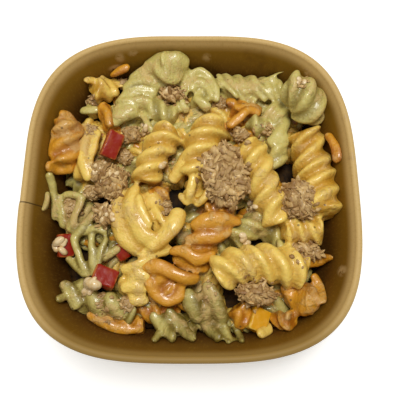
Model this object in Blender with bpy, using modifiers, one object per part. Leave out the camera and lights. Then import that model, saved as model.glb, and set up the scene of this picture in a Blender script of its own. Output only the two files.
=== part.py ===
"""Pasta salad in a square bowl of brown paper board.

The bowl is a turned wall with a rolled rim, squared off with round corners, and a raised floor.
The salad is one solid: a core with the twists of pasta that show fused on, and with the single
fins and bands that show. The diced pepper and the lumps of tuna lie in it as solids of their own.
Metres, +Z up, origin on the table under the middle of the bowl, +Y away from the eater.
"""

import math

import bmesh
import bpy
from mathutils import Euler, Vector, noise

MM = 0.001

# The bowl.
RIM_HALF = 85.6 * MM
FOOT_HALF = 70.0 * MM
BOWL_HEIGHT = 60.0 * MM
CURL = 3.4 * MM
BOARD = 0.7 * MM
FLOOR_HEIGHT = 5.0 * MM
HEM_DEPTH = 4.0 * MM
SQUARENESS = 3.3
BOWL_STEPS = 52
FIT_GAP = 0.35 * MM

# The salad, whose top is a low dome.
DOME_MIDDLE = 37.0
DOME_EDGE = 31.0
CORE_RISE = 1.5
CORE_SIDE_GAP = 1.2 * MM
CORE_STEPS = 40
CORE_BUMP = 1.6 * MM
CORE_BUMP_SIZE = 11.0 * MM

# Places in the salad are read on a level plane, as seen from the eye, in millimetres.
EYE = Vector((5.1, -56.3, 254.3))
READING_HEIGHT = 48.0

# The pasta.
FIN_COUNT = 3
FIN_HALF_ANGLE = math.radians(21.0)
VALLEY = 0.54
END_TAPER = 0.86
STATION_EVERY = 3.6
FEWEST_STATIONS = 5
STRIP_CORNERS = 8
STRIP_FLATNESS = 0.6
STRIP_END = 0.4
STRAIGHT = 1e6
WALL_MARGIN = 0.72
CLIMB = 13.0
CLIMB_STEP = 0.5
PIECE_GAP = 0.6 * MM
PIECE_GAP_STEP = 0.02 * MM
HEAP_TRIANGLES = 9300

# The toppings.
NEST_GAP = 0.5 * MM
PEPPER_ROUNDING = 1.1 * MM
LUMP_ROUGHNESS = 0.34

# Each twist of pasta: half its thickness, the length of one full turn of its fins, the turn at
# its first end in degrees, and the places that its middle passes, each x, y and the lift above
# the dome of the salad.
GREEN_TWISTS = (
    (10.4, 30, 20, ((-9, 74, 5), (-22, 62, 2), (-36, 44, 0))),
    (8.6, 26, 0, ((4, 63, 0), (5, 56, -1), (7, 47, -1))),
    (7.6, 23, 40, ((16, 61, 1), (34, 59, 1), (52, 56, 1))),
    (10.4, 26, 0, ((59, 64, 4), (65, 52, 6), (64, 42, 4))),
    (6.8, 30, 60, ((50, 47, 1), (48, 30, 2), (46, 14, 1))),
    (6.0, 24, 0, ((33, 40, 3), (41, 33, 3))),
    (8.0, 28, 90, ((21, -28, 0), (37, -16, -1))),
    (7.0, 26, 0, ((33, -11, -2), (47, -31, -3))),
    (8.0, 28, 10, ((-63, -3, -3), (-61, -12, -3), (-57, -26, -3))),
    (7.4, 27, 50, ((-62, -52, -3), (-49, -58, -3), (-35, -61, -3))),
    (7.4, 26, 80, ((-14, -65, -4), (-6, -69, -4), (3, -73, -4))),
    (9.0, 28, 30, ((5, -53, -3), (10, -62, -3), (15, -72, -4))),
    (5.6, 26, 0, ((-62, 50, -1), (-52, 46, -1))),
    (7.0, 26, 0, ((-24, 48, 1), (-8, 40, 1))),
    (6.0, 26, 0, ((20, 58, -1), (36, 48, -1))),
)
YELLOW_TWISTS = (
    (6.4, 30, 0, ((-55, 60, 0), (-45, 56, 0))),
    (7.0, 40, 70, ((-55, 35, 1), (-57, 20, 2), (-56, 5, 1))),
    (9.6, 27, 30, ((-10, 33, 5), (-19, 20, 6), (-24, 4, 5))),
    (10.2, 27, 0, ((13, 38, 7), (5, 22, 8), (0, 7, 5))),
    (7.0, 27, 0, ((3, 4, 0), (2, -6, 0))),
    (9.2, 29, 20, ((31, 26, 7), (38, 6, 8), (45, -19, 7))),
    (8.6, 26, 60, ((48, -21, 5), (58, -22, 5), (69, -23, 4))),
    (11.5, 30, 0, ((62, 32, 6), (66, 12, 7), (69, -14, 5))),
    (6.6, 28, 20, ((-33, -45, -1), (-26, -55, -1))),
    (10.4, 27, 50, ((13, -45, 6), (34, -39, 7), (57, -44, 6))),
)
ORANGE_TWISTS = (
    (8.8, 34, 0, ((-68, 40, 1), (-68, 26, 1), (-68, 13, 1))),
    (5.6, 24, 0, ((22, 47, 0), (39, 44, 0))),
    (10.2, 35, 30, ((13, -18, -1), (7, -28, -1), (0, -41, -1))),
    (8.2, 28, 0, ((-14, -43, 0), (-12, -54, 0))),
    (5.6, 26, 0, ((-49, -65, -2), (-36, -68, -2), (-22, -69, -2))),
    (5.4, 24, 0, ((22, -61, 1), (27, -69, 0))),
    (5.0, 24, 0, ((41, -66, 0), (51, -68, 0))),
    (5.4, 22, 0, ((7, -10, 2), (23, -13, 2))),
    (6.0, 24, 0, ((-22, -4, 1), (-11, -3, 1))),
    (5.0, 24, 0, ((-50, 49, 2), (-43, 34, 2))),
)

# Each strip, a fin or band of pasta that shows by itself: half its width, or half its width from
# end to end, and the places that its middle passes.
STRIPS = (
    ((3.6, 5.4, 5.4, 3.6), ((-27, 71, 11), (-18, 76, 14), (-9, 77, 14), (-2, 73, 12))),
    ((2.6, 3.6, 3.4, 2.2), ((-35, 64, 9), (-26, 70, 12), (-17, 70, 12), (-7, 66, 10))),
    ((2.6, 3.6, 3.2, 2.0), ((-38, 58, 8), (-30, 64, 10), (-20, 64, 10), (-11, 61, 8))),
    ((2.6, 3.4, 3.4, 2.8), ((-41, 50, 6), (-34, 56, 8), (-26, 58, 8), (-19, 56, 7))),
    ((2.6, 3.4, 3.4, 2.4), ((-43, 43, 5), (-37, 49, 7), (-29, 51, 7), (-22, 50, 6))),
    ((3.0, 4.8, 4.0), ((-44, 36, 4), (-38, 43, 6), (-29, 46, 5))),
    (2.6, ((-5, 54, 6), (-2, 64, 8), (4, 70, 9), (10, 66, 8), (14, 58, 7), (14, 50, 5))),
    (2.4, ((0, 57, 7), (4, 63, 8), (9, 60, 8), (12, 52, 6))),
    (2.6, ((-5, 58, 4), (-6, 50, 5), (-1, 45, 4))),
    (3.0, ((2, 54, 5), (6, 50, 6), (11, 46, 4))),
    (2.3, ((21, 66, 4), (27, 61, 6), (33, 55, 5))),
    ((2.6, 3.4, 3.0, 1.8), ((45, 67, 6), (49, 60, 8), (53, 52, 8), (56, 46, 6))),
    ((3.0, 4.2, 2.4), ((41, 42, 5), (46, 46, 6), (52, 49, 5))),
    (4.2, ((42, 25, 5), (47, 28, 6), (53, 31, 5))),
    (3.4, ((42, 17, 4), (47, 20, 5), (52, 23, 4))),
    (2.8, ((42, 12, 4), (46, 14, 5), (51, 17, 4))),
    (5.0, ((13, 60, -2), (20, 52, -2))),
    (2.7, ((-62, 45, 3), (-56, 46, 4), (-51, 47, 3))),
    (2.4, ((-77, 10, 4), (-74, 3, 5), (-72, -6, 5), (-71, -17, 3))),
    (2.4, ((-69, -5, 5), (-68, -12, 6), (-66, -21, 4))),
    (2.3, ((-57, -4, 5), (-60, -13, 7), (-63, -23, 5))),
    (2.5, ((-50, -12, 5), (-55, -19, 6), (-60, -28, 4))),
    (2.6, ((-46, -37, 4), (-41, -34, 5), (-36, -30, 4))),
    ((3.0, 4.6, 3.6), ((-65, -48, 2), (-60, -53, 4), (-55, -61, 2))),
    ((3.0, 4.4, 3.6), ((-51, -51, 3), (-47, -58, 4), (-42, -65, 1))),
    ((3.0, 4.4, 3.6), ((-41, -53, 3), (-37, -60, 4), (-32, -66, 1))),
    ((2.6, 4.2, 3.2), ((-19, -63, 1), (-13, -70, 2), (-8, -77, 0))),
    ((2.6, 3.8, 3.0), ((-11, -61, 2), (-5, -69, 3), (3, -77, 0))),
    ((3.0, 4.8, 3.2), ((-1, -51, 4), (1, -60, 5), (5, -68, 3))),
    ((3.0, 4.6, 3.2), ((7, -49, 5), (13, -58, 6), (17, -68, 3))),
    ((2.6, 4.0, 2.8), ((5, -65, 3), (10, -71, 2), (15, -78, 0))),
    (2.3, ((17, -69, 3), (19, -75, 2), (19, -80, 1))),
    (2.3, ((46, -27, 5), (47, -33, 6), (48, -39, 6))),
    (3.6, ((41, -54, 0), (45, -60, -1), (48, -65, -2))),
    (2.3, ((-62, 65, 3), (-56, 64, 5), (-51, 61, 6))),
    (2.7, ((-52, 66, 4), (-47, 63, 7), (-43, 57, 6), (-42, 54, 4))),
    (2.8, ((-56, 36, 6), (-58, 26, 8), (-59, 16, 9), (-54, 5, 8))),
    (2.6, ((-51, 34, 5), (-53, 24, 7), (-55, 15, 8), (-52, 7, 7))),
    (
        (2.5, 4.6, 5.2, 5.2, 3.6),
        ((-34, 1, 5), (-38, -8, 6), (-37, -18, 6), (-32, -28, 6), (-25, -35, 5)),
    ),
    (
        (2.6, 4.2, 4.6, 4.4, 3.6),
        ((-29, 3, 6), (-31, -7, 8), (-30, -16, 9), (-24, -25, 9), (-16, -27, 8)),
    ),
    ((4.2, 5.6, 5.6, 4.6), ((-6, -10, 6), (-8, -18, 8), (-14, -25, 8), (-22, -31, 7))),
    (2.8, ((-28, -33, 5), (-18, -34, 6), (-9, -31, 6))),
    ((4.0, 6.4, 5.6, 3.0), ((-22, -1, 3), (-20, -8, 4), (-18, -17, 4), (-17, -23, 4))),
    ((1.8, 2.4, 1.8), ((-27, -3, 9), (-25, -12, 11), (-20, -20, 10))),
    (2.7, ((-35, -43, 5), (-27, -40, 7), (-17, -36, 6))),
    (2.9, ((-31, -47, 5), (-25, -45, 7), (-20, -46, 6))),
    (3.1, ((-34, -52, 4), (-28, -50, 6), (-22, -54, 5))),
    (2.7, ((-30, -56, 4), (-25, -58, 5), (-21, -56, 4))),
    (3.8, ((-10, 4, 6), (-6, 11, 9), (-1, 20, 9))),
    (2.7, ((-1, -6, 8), (1, 3, 11), (4, 12, 10))),
    (2.3, ((2, -9, 7), (8, -4, 9), (11, 4, 8))),
    (3.4, ((51, -15, 7), (54, -21, 8), (58, -27, 6))),
    (3.4, ((33, -74, 2), (40, -70, 2))),
    ((2.2, 3.2, 2.8), ((-46, 67, 8), (-40, 71, 10), (-35, 73, 10))),
    ((3.0, 5.0, 3.4), ((-9, -36, 3), (-1, -39, 4), (6, -42, 3))),
    (2.8, ((-51, 49, 4), (-46, 43, 7), (-46, 35, 6))),
    ((2.4, 4.6, 5.6, 3.8), ((-76, 46, 6), (-70, 42, 8), (-67, 36, 8), (-66, 29, 7))),
    (3.2, ((-74, 31, 5), (-75, 24, 6), (-75, 17, 6))),
    (3.2, ((-67, 30, 6), (-67, 22, 7), (-67, 15, 6))),
    (3.0, ((-78, 14, 7), (-71, 11, 8), (-63, 12, 8))),
    (2.7, ((75, 32, 8), (79, 24, 8), (82, 15, 7))),
    (2.8, ((20, 35, 5), (27, 41, 7), (33, 46, 7), (39, 43, 5))),
    (2.4, ((24, 47, 5), (30, 48, 6), (37, 48, 5))),
    (2.6, ((19, 51, 4), (26, 50, 5))),
    ((3.0, 4.6, 4.4, 2.2), ((0, -20, 6), (8, -17, 9), (18, -16, 9), (27, -18, 6))),
    ((2.8, 3.8, 3.8, 2.2), ((-3, -28, 7), (5, -26, 9), (14, -25, 9), (22, -22, 6))),
    ((2.2, 3.4, 3.6, 2.4), ((-11, -33, 7), (-4, -33, 9), (5, -37, 9), (13, -33, 7))),
    ((3.0, 4.2, 4.2, 2.8), ((-25, -41, 6), (-15, -41, 8), (-4, -46, 9), (5, -47, 6))),
    (
        (2.2, 3.2, 3.2, 3.2, 2.0),
        ((-21, -46, 7), (-18, -54, 6), (-11, -58, 6), (-5, -55, 6), (-5, -48, 6)),
    ),
    ((2.2, 2.8, 2.8, 2.2), ((-51, -64, 2), (-43, -68, 3), (-34, -71, 3), (-22, -71, 2))),
    ((6.0, 8.4, 8.0, 5.6), ((48, -52, 2), (54, -55, 3), (60, -58, 3), (64, -61, 2))),
    (3.4, ((47, -49, 4), (51, -56, 6), (56, -64, 3))),
    (3.6, ((53, -48, 4), (58, -55, 6), (63, -62, 3))),
    (2.6, ((62, -44, 4), (65, -51, 5), (67, -59, 3))),
    ((1.8, 3.4, 3.4, 1.5), ((54, -41, 3), (60, -38, 5), (67, -37, 4), (73, -36, 3))),
    (2.3, ((22, -61, 3), (24, -66, 3), (27, -71, 2))),
    (2.3, ((26, -58, 3), (29, -64, 3), (31, -69, 2))),
    (2.8, ((40, -66, 2), (46, -68, 3), (51, -67, 2))),
)

# Each dice of pepper: its name, its middle, its sides and how it is turned, in degrees.
PEPPER_DICE = (
    ("red_pepper_1", (-43, 25, 10), (9.0, 15.0, 8.0), (10, 26, -17)),
    ("red_pepper_2", (-69, -32, 4), (8.5, 12.5, 6.0), (10, 28, 8)),
    ("red_pepper_3", (-43, -46, 7), (12.5, 10.0, 7.0), (-16, 14, -20)),
    ("red_pepper_4", (-35, -33, 1), (7.0, 9.0, 6.0), (20, 0, 30)),
    ("yellow_pepper_1", (35, -69, 5), (9.5, 12.0, 6.5), (-10, 12, -24)),
)

# Each lump of tuna: its name, its middle, its sides, its turn about the upright in degrees, how
# finely it is divided, and the seed of its crags.
TUNA_LUMPS = (
    ("tuna_lump_1", (18, 8, 11), (25, 35, 13), 12, 3, 1.0),
    ("tuna_lump_2", (58, -6, 14), (20, 21, 12), -10, 3, 2.0),
    ("tuna_lump_3", (33, -54, 9), (23, 10, 11), -8, 2, 3.0),
    ("tuna_lump_4", (59, -33, 7), (17, 9, 9), -6, 2, 4.0),
    ("tuna_lump_5", (-42, 4, 7), (16, 20, 12), 16, 2, 5.0),
    ("tuna_lump_6", (-45, -14, 7), (9, 13, 10), 4, 2, 6.0),
    ("tuna_lump_7", (-10, 55, 6), (14, 9, 9), -4, 2, 7.0),
)


def clear_scene():
    for obj in list(bpy.data.objects):
        bpy.data.objects.remove(obj, do_unlink=True)


def new_collection(name):
    collection = bpy.data.collections.new(name)
    bpy.context.scene.collection.children.link(collection)
    return collection


def new_material(name, colour, roughness):
    material = bpy.data.materials.new(name)
    material.use_nodes = True
    shader = material.node_tree.nodes["Principled BSDF"]
    shader.inputs["Base Color"].default_value = (*colour, 1.0)
    shader.inputs["Roughness"].default_value = roughness
    shader.inputs["Metallic"].default_value = 0.0
    material.diffuse_color = (*colour, 1.0)
    return material


def add_object(name, data, collection, material=None):
    obj = bpy.data.objects.new(name, data)
    collection.objects.link(obj)
    if material is not None:
        data.materials.clear()
        data.materials.append(material)
    return obj


def evaluated_mesh(obj):
    """The object's mesh with its modifiers applied, in world space."""
    bpy.context.view_layer.update()
    graph = bpy.context.evaluated_depsgraph_get()
    mesh = bpy.data.meshes.new_from_object(obj.evaluated_get(graph))
    mesh.transform(obj.matrix_world)
    return mesh


def weld(mesh):
    """Makes doubled points one, as where a curve's caps meet its sides, and all faces triangles."""
    form = bmesh.new()
    form.from_mesh(mesh)
    bmesh.ops.remove_doubles(form, verts=form.verts, dist=0.001 * MM)
    bmesh.ops.triangulate(form, faces=form.faces)
    form.to_mesh(mesh)
    form.free()


def settle_modifiers(obj):
    """Puts the evaluated mesh in place of the object's own, and drops its modifiers."""
    mesh = evaluated_mesh(obj)
    obj.modifiers.clear()
    obj.data = mesh


def shade(mesh, angle):
    mesh.shade_smooth()
    mesh.set_sharp_from_angle(angle=math.radians(angle))


def squared(direction_x, direction_y):
    """How far out the squared outline lies at this bearing, for a circle of radius 1."""
    reach = math.hypot(direction_x, direction_y)
    if reach == 0.0:
        return 1.0
    across = abs(direction_x / reach) ** SQUARENESS + abs(direction_y / reach) ** SQUARENESS
    return across ** (-1.0 / SQUARENESS)


def square_off(mesh):
    for vertex in mesh.vertices:
        factor = squared(vertex.co.x, vertex.co.y)
        vertex.co.x *= factor
        vertex.co.y *= factor


def turned(name, profile, closed, steps, collection, material):
    """A profile of (radius, height) points turned about the upright, then squared off."""
    count = len(profile)
    edges = [(i, i + 1) for i in range(count - 1)]
    if closed:
        edges.append((count - 1, 0))
    mesh = bpy.data.meshes.new(name)
    mesh.from_pydata([(radius, 0.0, height) for radius, height in profile], edges, [])
    obj = add_object(name, mesh, collection)
    screw = obj.modifiers.new("Turn", "SCREW")
    screw.steps = steps
    screw.render_steps = steps
    screw.use_merge_vertices = True
    screw.merge_threshold = 0.01 * MM
    settle_modifiers(obj)
    weld(obj.data)
    square_off(obj.data)
    obj.data.materials.clear()
    obj.data.materials.append(material)
    return obj


def wall_half(height):
    """Half the bowl's width at this height, on the outer face of its wall."""
    top = BOWL_HEIGHT - CURL / 2
    top_half = RIM_HALF - CURL + BOARD / 2
    return FOOT_HALF + (top_half - FOOT_HALF) * height / top


def inside_half(height):
    return wall_half(height) - BOARD


def make_bowl(collection, material):
    """The wall with its rolled rim and turned-in hem, and the floor whose skirt the hem holds."""
    curl_middle = BOWL_HEIGHT - CURL / 2
    curl_centre = RIM_HALF - CURL / 2
    rim = []
    for degrees in (165, 90, 45, 0, -50, -110):
        angle = math.radians(degrees)
        radius = curl_centre + CURL / 2 * math.cos(angle)
        rim.append((radius, curl_middle + CURL / 2 * math.sin(angle)))
    under_rim = BOWL_HEIGHT - 1.3 * CURL
    profile = rim + [
        (wall_half(under_rim), under_rim),
        (wall_half(0.0), 0.0),
        (wall_half(0.0) - 2 * BOARD, 0.0),
        (wall_half(HEM_DEPTH) - 2 * BOARD, HEM_DEPTH),
        (inside_half(HEM_DEPTH), HEM_DEPTH + BOARD / 4),
    ]
    turned("bowl_wall", profile, True, BOWL_STEPS, collection, material)

    skirt_bottom = 0.8 * MM
    skirt_out = wall_half(skirt_bottom) - 2 * BOARD - FIT_GAP
    floor_out = wall_half(HEM_DEPTH) - 2 * BOARD - FIT_GAP
    floor = (
        (0.0, FLOOR_HEIGHT),
        (floor_out - 2 * BOARD, FLOOR_HEIGHT),
        (floor_out, FLOOR_HEIGHT - BOARD),
        (skirt_out, skirt_bottom),
        (skirt_out - BOARD, skirt_bottom),
        (floor_out - 2 * BOARD, FLOOR_HEIGHT - 1.5 * BOARD),
        (0.0, FLOOR_HEIGHT - BOARD),
    )
    turned("bowl_base", floor, False, BOWL_STEPS, collection, material)


def squared_reach(x, y, half):
    """1 on the squared outline of this half width, less inside it."""
    across = abs(x / half) ** SQUARENESS + abs(y / half) ** SQUARENESS
    return across ** (1.0 / SQUARENESS)


def dome(x, y):
    """The height of the salad's dome, in and out in millimetres."""
    reach = min(1.0, squared_reach(x, y, inside_half(DOME_EDGE * MM) / MM))
    return DOME_EDGE + (DOME_MIDDLE - DOME_EDGE) * (1.0 - reach**2)


def pulled_in(point, margin):
    """The point moved level towards the middle until it is this far inside the wall."""
    half = inside_half(point.z) - margin
    reach = squared_reach(point.x, point.y, half)
    if reach <= 1.0:
        return point
    return Vector((point.x / reach, point.y / reach, point.z))


def placed(place, margin, climb=0.0):
    """The point in metres of a place read on the level plane and lifted above the dome.

    Where the wall is in its way, the point climbs its line of sight by up to this much.
    """
    x, y, lift = place
    height = dome(x, y) + lift
    top = height + climb
    while True:
        along = (EYE.z - height) / (EYE.z - READING_HEIGHT)
        seen_x = EYE.x + (x - EYE.x) * along
        seen_y = EYE.y + (y - EYE.y) * along
        point = Vector((seen_x, seen_y, height)) * MM
        inside = squared_reach(point.x, point.y, inside_half(point.z) - margin) <= 1.0
        if inside or height >= top:
            return pulled_in(point, margin)
        height += CLIMB_STEP


def make_core(collection, material):
    bottom = FLOOR_HEIGHT + FIT_GAP
    edge = (DOME_EDGE + CORE_RISE) * MM
    middle = (DOME_MIDDLE + CORE_RISE) * MM
    side = inside_half(edge) - CORE_SIDE_GAP
    profile = []
    for share in (0.0, 0.2, 0.4, 0.58, 0.74, 0.88):
        profile.append((side * share, edge + (middle - edge) * (1.0 - share**2)))
    profile += [
        (side, edge - 1.5 * MM),
        (inside_half(0.6 * edge) - CORE_SIDE_GAP, 0.6 * edge),
        (inside_half(bottom) - CORE_SIDE_GAP, bottom + MM),
        (inside_half(bottom) - CORE_SIDE_GAP - MM, bottom),
        (0.0, bottom),
    ]
    core = turned("pasta_heap", profile, False, CORE_STEPS, collection, material)
    for vertex in core.data.vertices:
        if vertex.co.z > edge - MM:
            lump = noise.noise(vertex.co / CORE_BUMP_SIZE)
            vertex.co.z += CORE_BUMP * lump
    return core


def make_section(name, corners, collection):
    """A closed section, 1 m in radius, from its corners."""
    curve = bpy.data.curves.new(name, "CURVE")
    curve.dimensions = "2D"
    spline = curve.splines.new("POLY")
    spline.points.add(len(corners) - 1)
    for point, (x, y) in zip(spline.points, corners):
        point.co = (x, y, 0.0, 1.0)
    spline.use_cyclic_u = True
    section = add_object(name, curve, collection)
    section.hide_render = True
    return section


def fin_corners():
    """The section of a twist: three fat fins round a thin middle."""
    corners = []
    for fin in range(FIN_COUNT):
        bearing = -2 * math.pi * fin / FIN_COUNT
        for angle, radius in (
            (bearing + FIN_HALF_ANGLE, 1.0),
            (bearing - FIN_HALF_ANGLE, 1.0),
            (bearing - math.pi / FIN_COUNT, VALLEY),
        ):
            corners.append((radius * math.cos(angle), radius * math.sin(angle)))
    return corners


def strip_corners():
    """The section of a strip: a flat oval."""
    corners = []
    for step in range(STRIP_CORNERS):
        angle = -2 * math.pi * (step + 0.5) / STRIP_CORNERS
        corners.append((math.cos(angle), STRIP_FLATNESS * math.sin(angle)))
    return corners


def bend(places, share):
    """The point at this share of the way along a smooth run through its places."""
    if len(places) == 2:
        return places[0].lerp(places[1], share)
    if len(places) == 3:
        first = (1 - share) * (1 - 2 * share)
        middle = 4 * share * (1 - share)
        last = share * (2 * share - 1)
        return places[0] * first + places[1] * middle + places[2] * last
    spans = len(places) - 1
    span = min(int(share * spans), spans - 1)
    t = share * spans - span
    before = places[max(span - 1, 0)]
    a = places[span]
    b = places[span + 1]
    after = places[min(span + 2, spans)]
    pull_a = (b - before) * 0.5
    pull_b = (after - a) * 0.5
    return (
        a * (2 * t**3 - 3 * t**2 + 1)
        + pull_a * (t**3 - 2 * t**2 + t)
        + b * (3 * t**2 - 2 * t**3)
        + pull_b * (t**3 - t**2)
    )


def between(values, share):
    """The value at this share of the way along a row of values."""
    spans = len(values) - 1
    span = min(int(share * spans), spans - 1)
    return values[span] + (values[span + 1] - values[span]) * (share * spans - span)


def make_run(index, half, lead, start_turn, places, end_share, section, collection):
    """One twist or strip as a curve with a section along it, made a mesh and kept off the wall."""
    halves = half if isinstance(half, tuple) else (half, half)
    margin = WALL_MARGIN * max(halves) * MM
    points = [placed(place, margin, CLIMB if place[2] >= 0 else 0.0) for place in places]
    length = sum((b - a).length for a, b in zip(points, points[1:]))
    stations = max(FEWEST_STATIONS, round(length / (STATION_EVERY * MM)) + 1)
    curve = bpy.data.curves.new(f"run_{index}", "CURVE")
    curve.dimensions = "3D"
    curve.bevel_mode = "OBJECT"
    curve.bevel_object = section
    curve.use_fill_caps = True
    curve.twist_mode = "Z_UP"
    spline = curve.splines.new("POLY")
    spline.points.add(stations - 1)
    for number, point in enumerate(spline.points):
        share = number / (stations - 1)
        here = between(halves, share) * MM
        nearness = min(share, 1 - share) * length / here
        point.co = (*bend(points, share), 1.0)
        point.radius = here * min(1.0, end_share + (1 - end_share) * 2 * nearness)
        point.tilt = math.radians(start_turn) + 2 * math.pi * share * length / (lead * MM)
    tube = add_object(f"run_{index}", curve, collection)
    mesh = evaluated_mesh(tube)
    weld(mesh)
    bpy.data.objects.remove(tube)
    gap = PIECE_GAP + PIECE_GAP_STEP * index
    for vertex in mesh.vertices:
        vertex.co = pulled_in(vertex.co, gap)
    run = add_object(f"run_{index}", mesh, collection)
    run.hide_render = True


def keep_main_body(mesh):
    """Keeps the largest body: a loose scrap goes, and so does the skin of a sealed hollow."""
    form = bmesh.new()
    form.from_mesh(mesh)
    unseen = set(form.faces)
    bodies = []
    while unseen:
        queue = [unseen.pop()]
        body = []
        while queue:
            face = queue.pop()
            body.append(face)
            for edge in face.edges:
                for neighbour in edge.link_faces:
                    if neighbour in unseen:
                        unseen.remove(neighbour)
                        queue.append(neighbour)
        bodies.append(body)
    bodies.sort(key=len)
    for body in bodies[:-1]:
        bmesh.ops.delete(form, geom=body, context="FACES")
    bmesh.ops.triangulate(form, faces=form.faces)
    form.to_mesh(mesh)
    form.free()


def join_or_cut(obj, others, operation):
    """One Boolean of the object with a collection, whose objects are then removed."""
    boolean = obj.modifiers.new("Join", "BOOLEAN")
    boolean.operation = operation
    boolean.operand_type = "COLLECTION"
    boolean.collection = others
    boolean.solver = "MANIFOLD"
    settle_modifiers(obj)
    keep_main_body(obj.data)
    for other in list(others.objects):
        bpy.data.objects.remove(other)
    bpy.data.collections.remove(others)


def thin_out(obj, most):
    """Merges the smallest faces until this many triangles are left."""
    thin = obj.modifiers.new("Thin", "DECIMATE")
    thin.ratio = min(1.0, most / len(obj.data.polygons))
    settle_modifiers(obj)


def add_pepper(name, place, sides, turn, collection, material):
    bpy.ops.mesh.primitive_cube_add(size=1.0)
    dice = bpy.context.object
    mesh = dice.data
    bpy.data.objects.remove(dice)
    for vertex in mesh.vertices:
        vertex.co = Vector(side * MM * part for side, part in zip(sides, vertex.co))
    dice = add_object(name, mesh, collection, material)
    bevel = dice.modifiers.new("Round", "BEVEL")
    bevel.width = PEPPER_ROUNDING
    bevel.segments = 1
    dice.rotation_euler = Euler([math.radians(angle) for angle in turn])
    dice.location = placed(place, max(sides) * MM / 2 + 1.5 * MM)
    return dice


def add_tuna(name, place, sides, turn, fineness, seed, collection, material):
    form = bmesh.new()
    bmesh.ops.create_icosphere(form, subdivisions=fineness, radius=1.0)
    for vertex in form.verts:
        direction = vertex.co.normalized()
        crag = noise.noise(direction * 1.7 + Vector((seed, 0.0, 0.0)))
        crag += 0.5 * noise.noise(direction * 4.1 + Vector((0.0, seed, 0.0)))
        reach = 1.0 + LUMP_ROUGHNESS * crag
        vertex.co = Vector(side * MM / 2 * reach * part for side, part in zip(sides, direction))
    mesh = bpy.data.meshes.new(name)
    form.to_mesh(mesh)
    form.free()
    lump = add_object(name, mesh, collection, material)
    lump.rotation_euler = (0.0, 0.0, math.radians(turn))
    lump.location = placed(place, max(sides[:2]) * MM / 2)
    return lump


def add_nest(topping, collection):
    """A slightly larger copy of a topping, which clears its place in the salad."""
    nest = add_object(f"nest_{topping.name}", evaluated_mesh(topping), collection)
    grow = nest.modifiers.new("Grow", "DISPLACE")
    grow.mid_level = 0.0
    grow.strength = NEST_GAP
    nest.hide_render = True
    nest.display_type = "WIRE"


def main():
    clear_scene()
    parts = new_collection("pasta_salad")
    guides = new_collection("guides")
    twists = new_collection("twists")
    nests = new_collection("nests")
    board = new_material("kraft_board", (0.42, 0.27, 0.12), 0.65)
    pasta = new_material("cooked_pasta", (0.72, 0.50, 0.16), 0.40)
    tuna = new_material("tuna_flesh", (0.52, 0.34, 0.20), 0.55)
    pepper_colours = {
        "red_pepper": new_material("red_pepper_skin", (0.42, 0.03, 0.015), 0.25),
        "yellow_pepper": new_material("yellow_pepper_skin", (0.62, 0.32, 0.01), 0.25),
    }

    make_bowl(parts, board)
    heap = make_core(parts, pasta)
    fins = make_section("fin_section", fin_corners(), guides)
    oval = make_section("strip_section", strip_corners(), guides)
    pasta_twists = GREEN_TWISTS + YELLOW_TWISTS + ORANGE_TWISTS
    for index, (half, lead, turn, places) in enumerate(pasta_twists):
        make_run(index, half, lead, turn, places, END_TAPER, fins, twists)
    for index, (half, places) in enumerate(STRIPS, len(pasta_twists)):
        make_run(index, half, STRAIGHT, 0.0, places, STRIP_END, oval, twists)
    join_or_cut(heap, twists, "UNION")
    thin_out(heap, HEAP_TRIANGLES)

    toppings = []
    for name, place, sides, turn in PEPPER_DICE:
        material = pepper_colours[name.rsplit("_", 1)[0]]
        toppings.append(add_pepper(name, place, sides, turn, parts, material))
    for name, place, sides, turn, fineness, seed in TUNA_LUMPS:
        toppings.append(add_tuna(name, place, sides, turn, fineness, seed, parts, tuna))
    for topping in toppings:
        add_nest(topping, nests)
    join_or_cut(heap, nests, "DIFFERENCE")

    heap.data.materials.clear()
    heap.data.materials.append(pasta)
    for obj in parts.objects:
        shade(obj.data, 40)


main()
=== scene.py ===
"""Pasta salad in a square bowl of brown paper board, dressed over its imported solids.

Twists of pasta in three colours lie on a dark core, with flaked tuna, diced pepper, crumbs and
dressing on them, in a bowl with a rolled rim and a lap seam. Metres, in the solids' frame.
"""

import math
import random

import bmesh
import bpy
import numpy as np
from mathutils import Euler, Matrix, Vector, noise
from mathutils.bvhtree import BVHTree
from mathutils.kdtree import KDTree


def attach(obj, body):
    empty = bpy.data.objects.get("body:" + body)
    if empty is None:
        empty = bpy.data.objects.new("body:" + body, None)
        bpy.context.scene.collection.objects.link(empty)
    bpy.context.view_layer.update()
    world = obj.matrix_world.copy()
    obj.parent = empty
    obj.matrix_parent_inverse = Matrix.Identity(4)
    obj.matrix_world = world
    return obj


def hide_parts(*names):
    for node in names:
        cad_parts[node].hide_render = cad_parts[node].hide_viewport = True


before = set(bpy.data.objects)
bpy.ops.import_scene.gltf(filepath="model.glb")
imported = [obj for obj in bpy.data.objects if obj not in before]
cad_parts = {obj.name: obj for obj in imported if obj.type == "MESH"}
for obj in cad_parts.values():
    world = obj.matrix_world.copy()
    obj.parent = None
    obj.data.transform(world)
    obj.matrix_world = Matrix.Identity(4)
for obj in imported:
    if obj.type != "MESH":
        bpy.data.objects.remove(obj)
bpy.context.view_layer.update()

MM = 0.001

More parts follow.
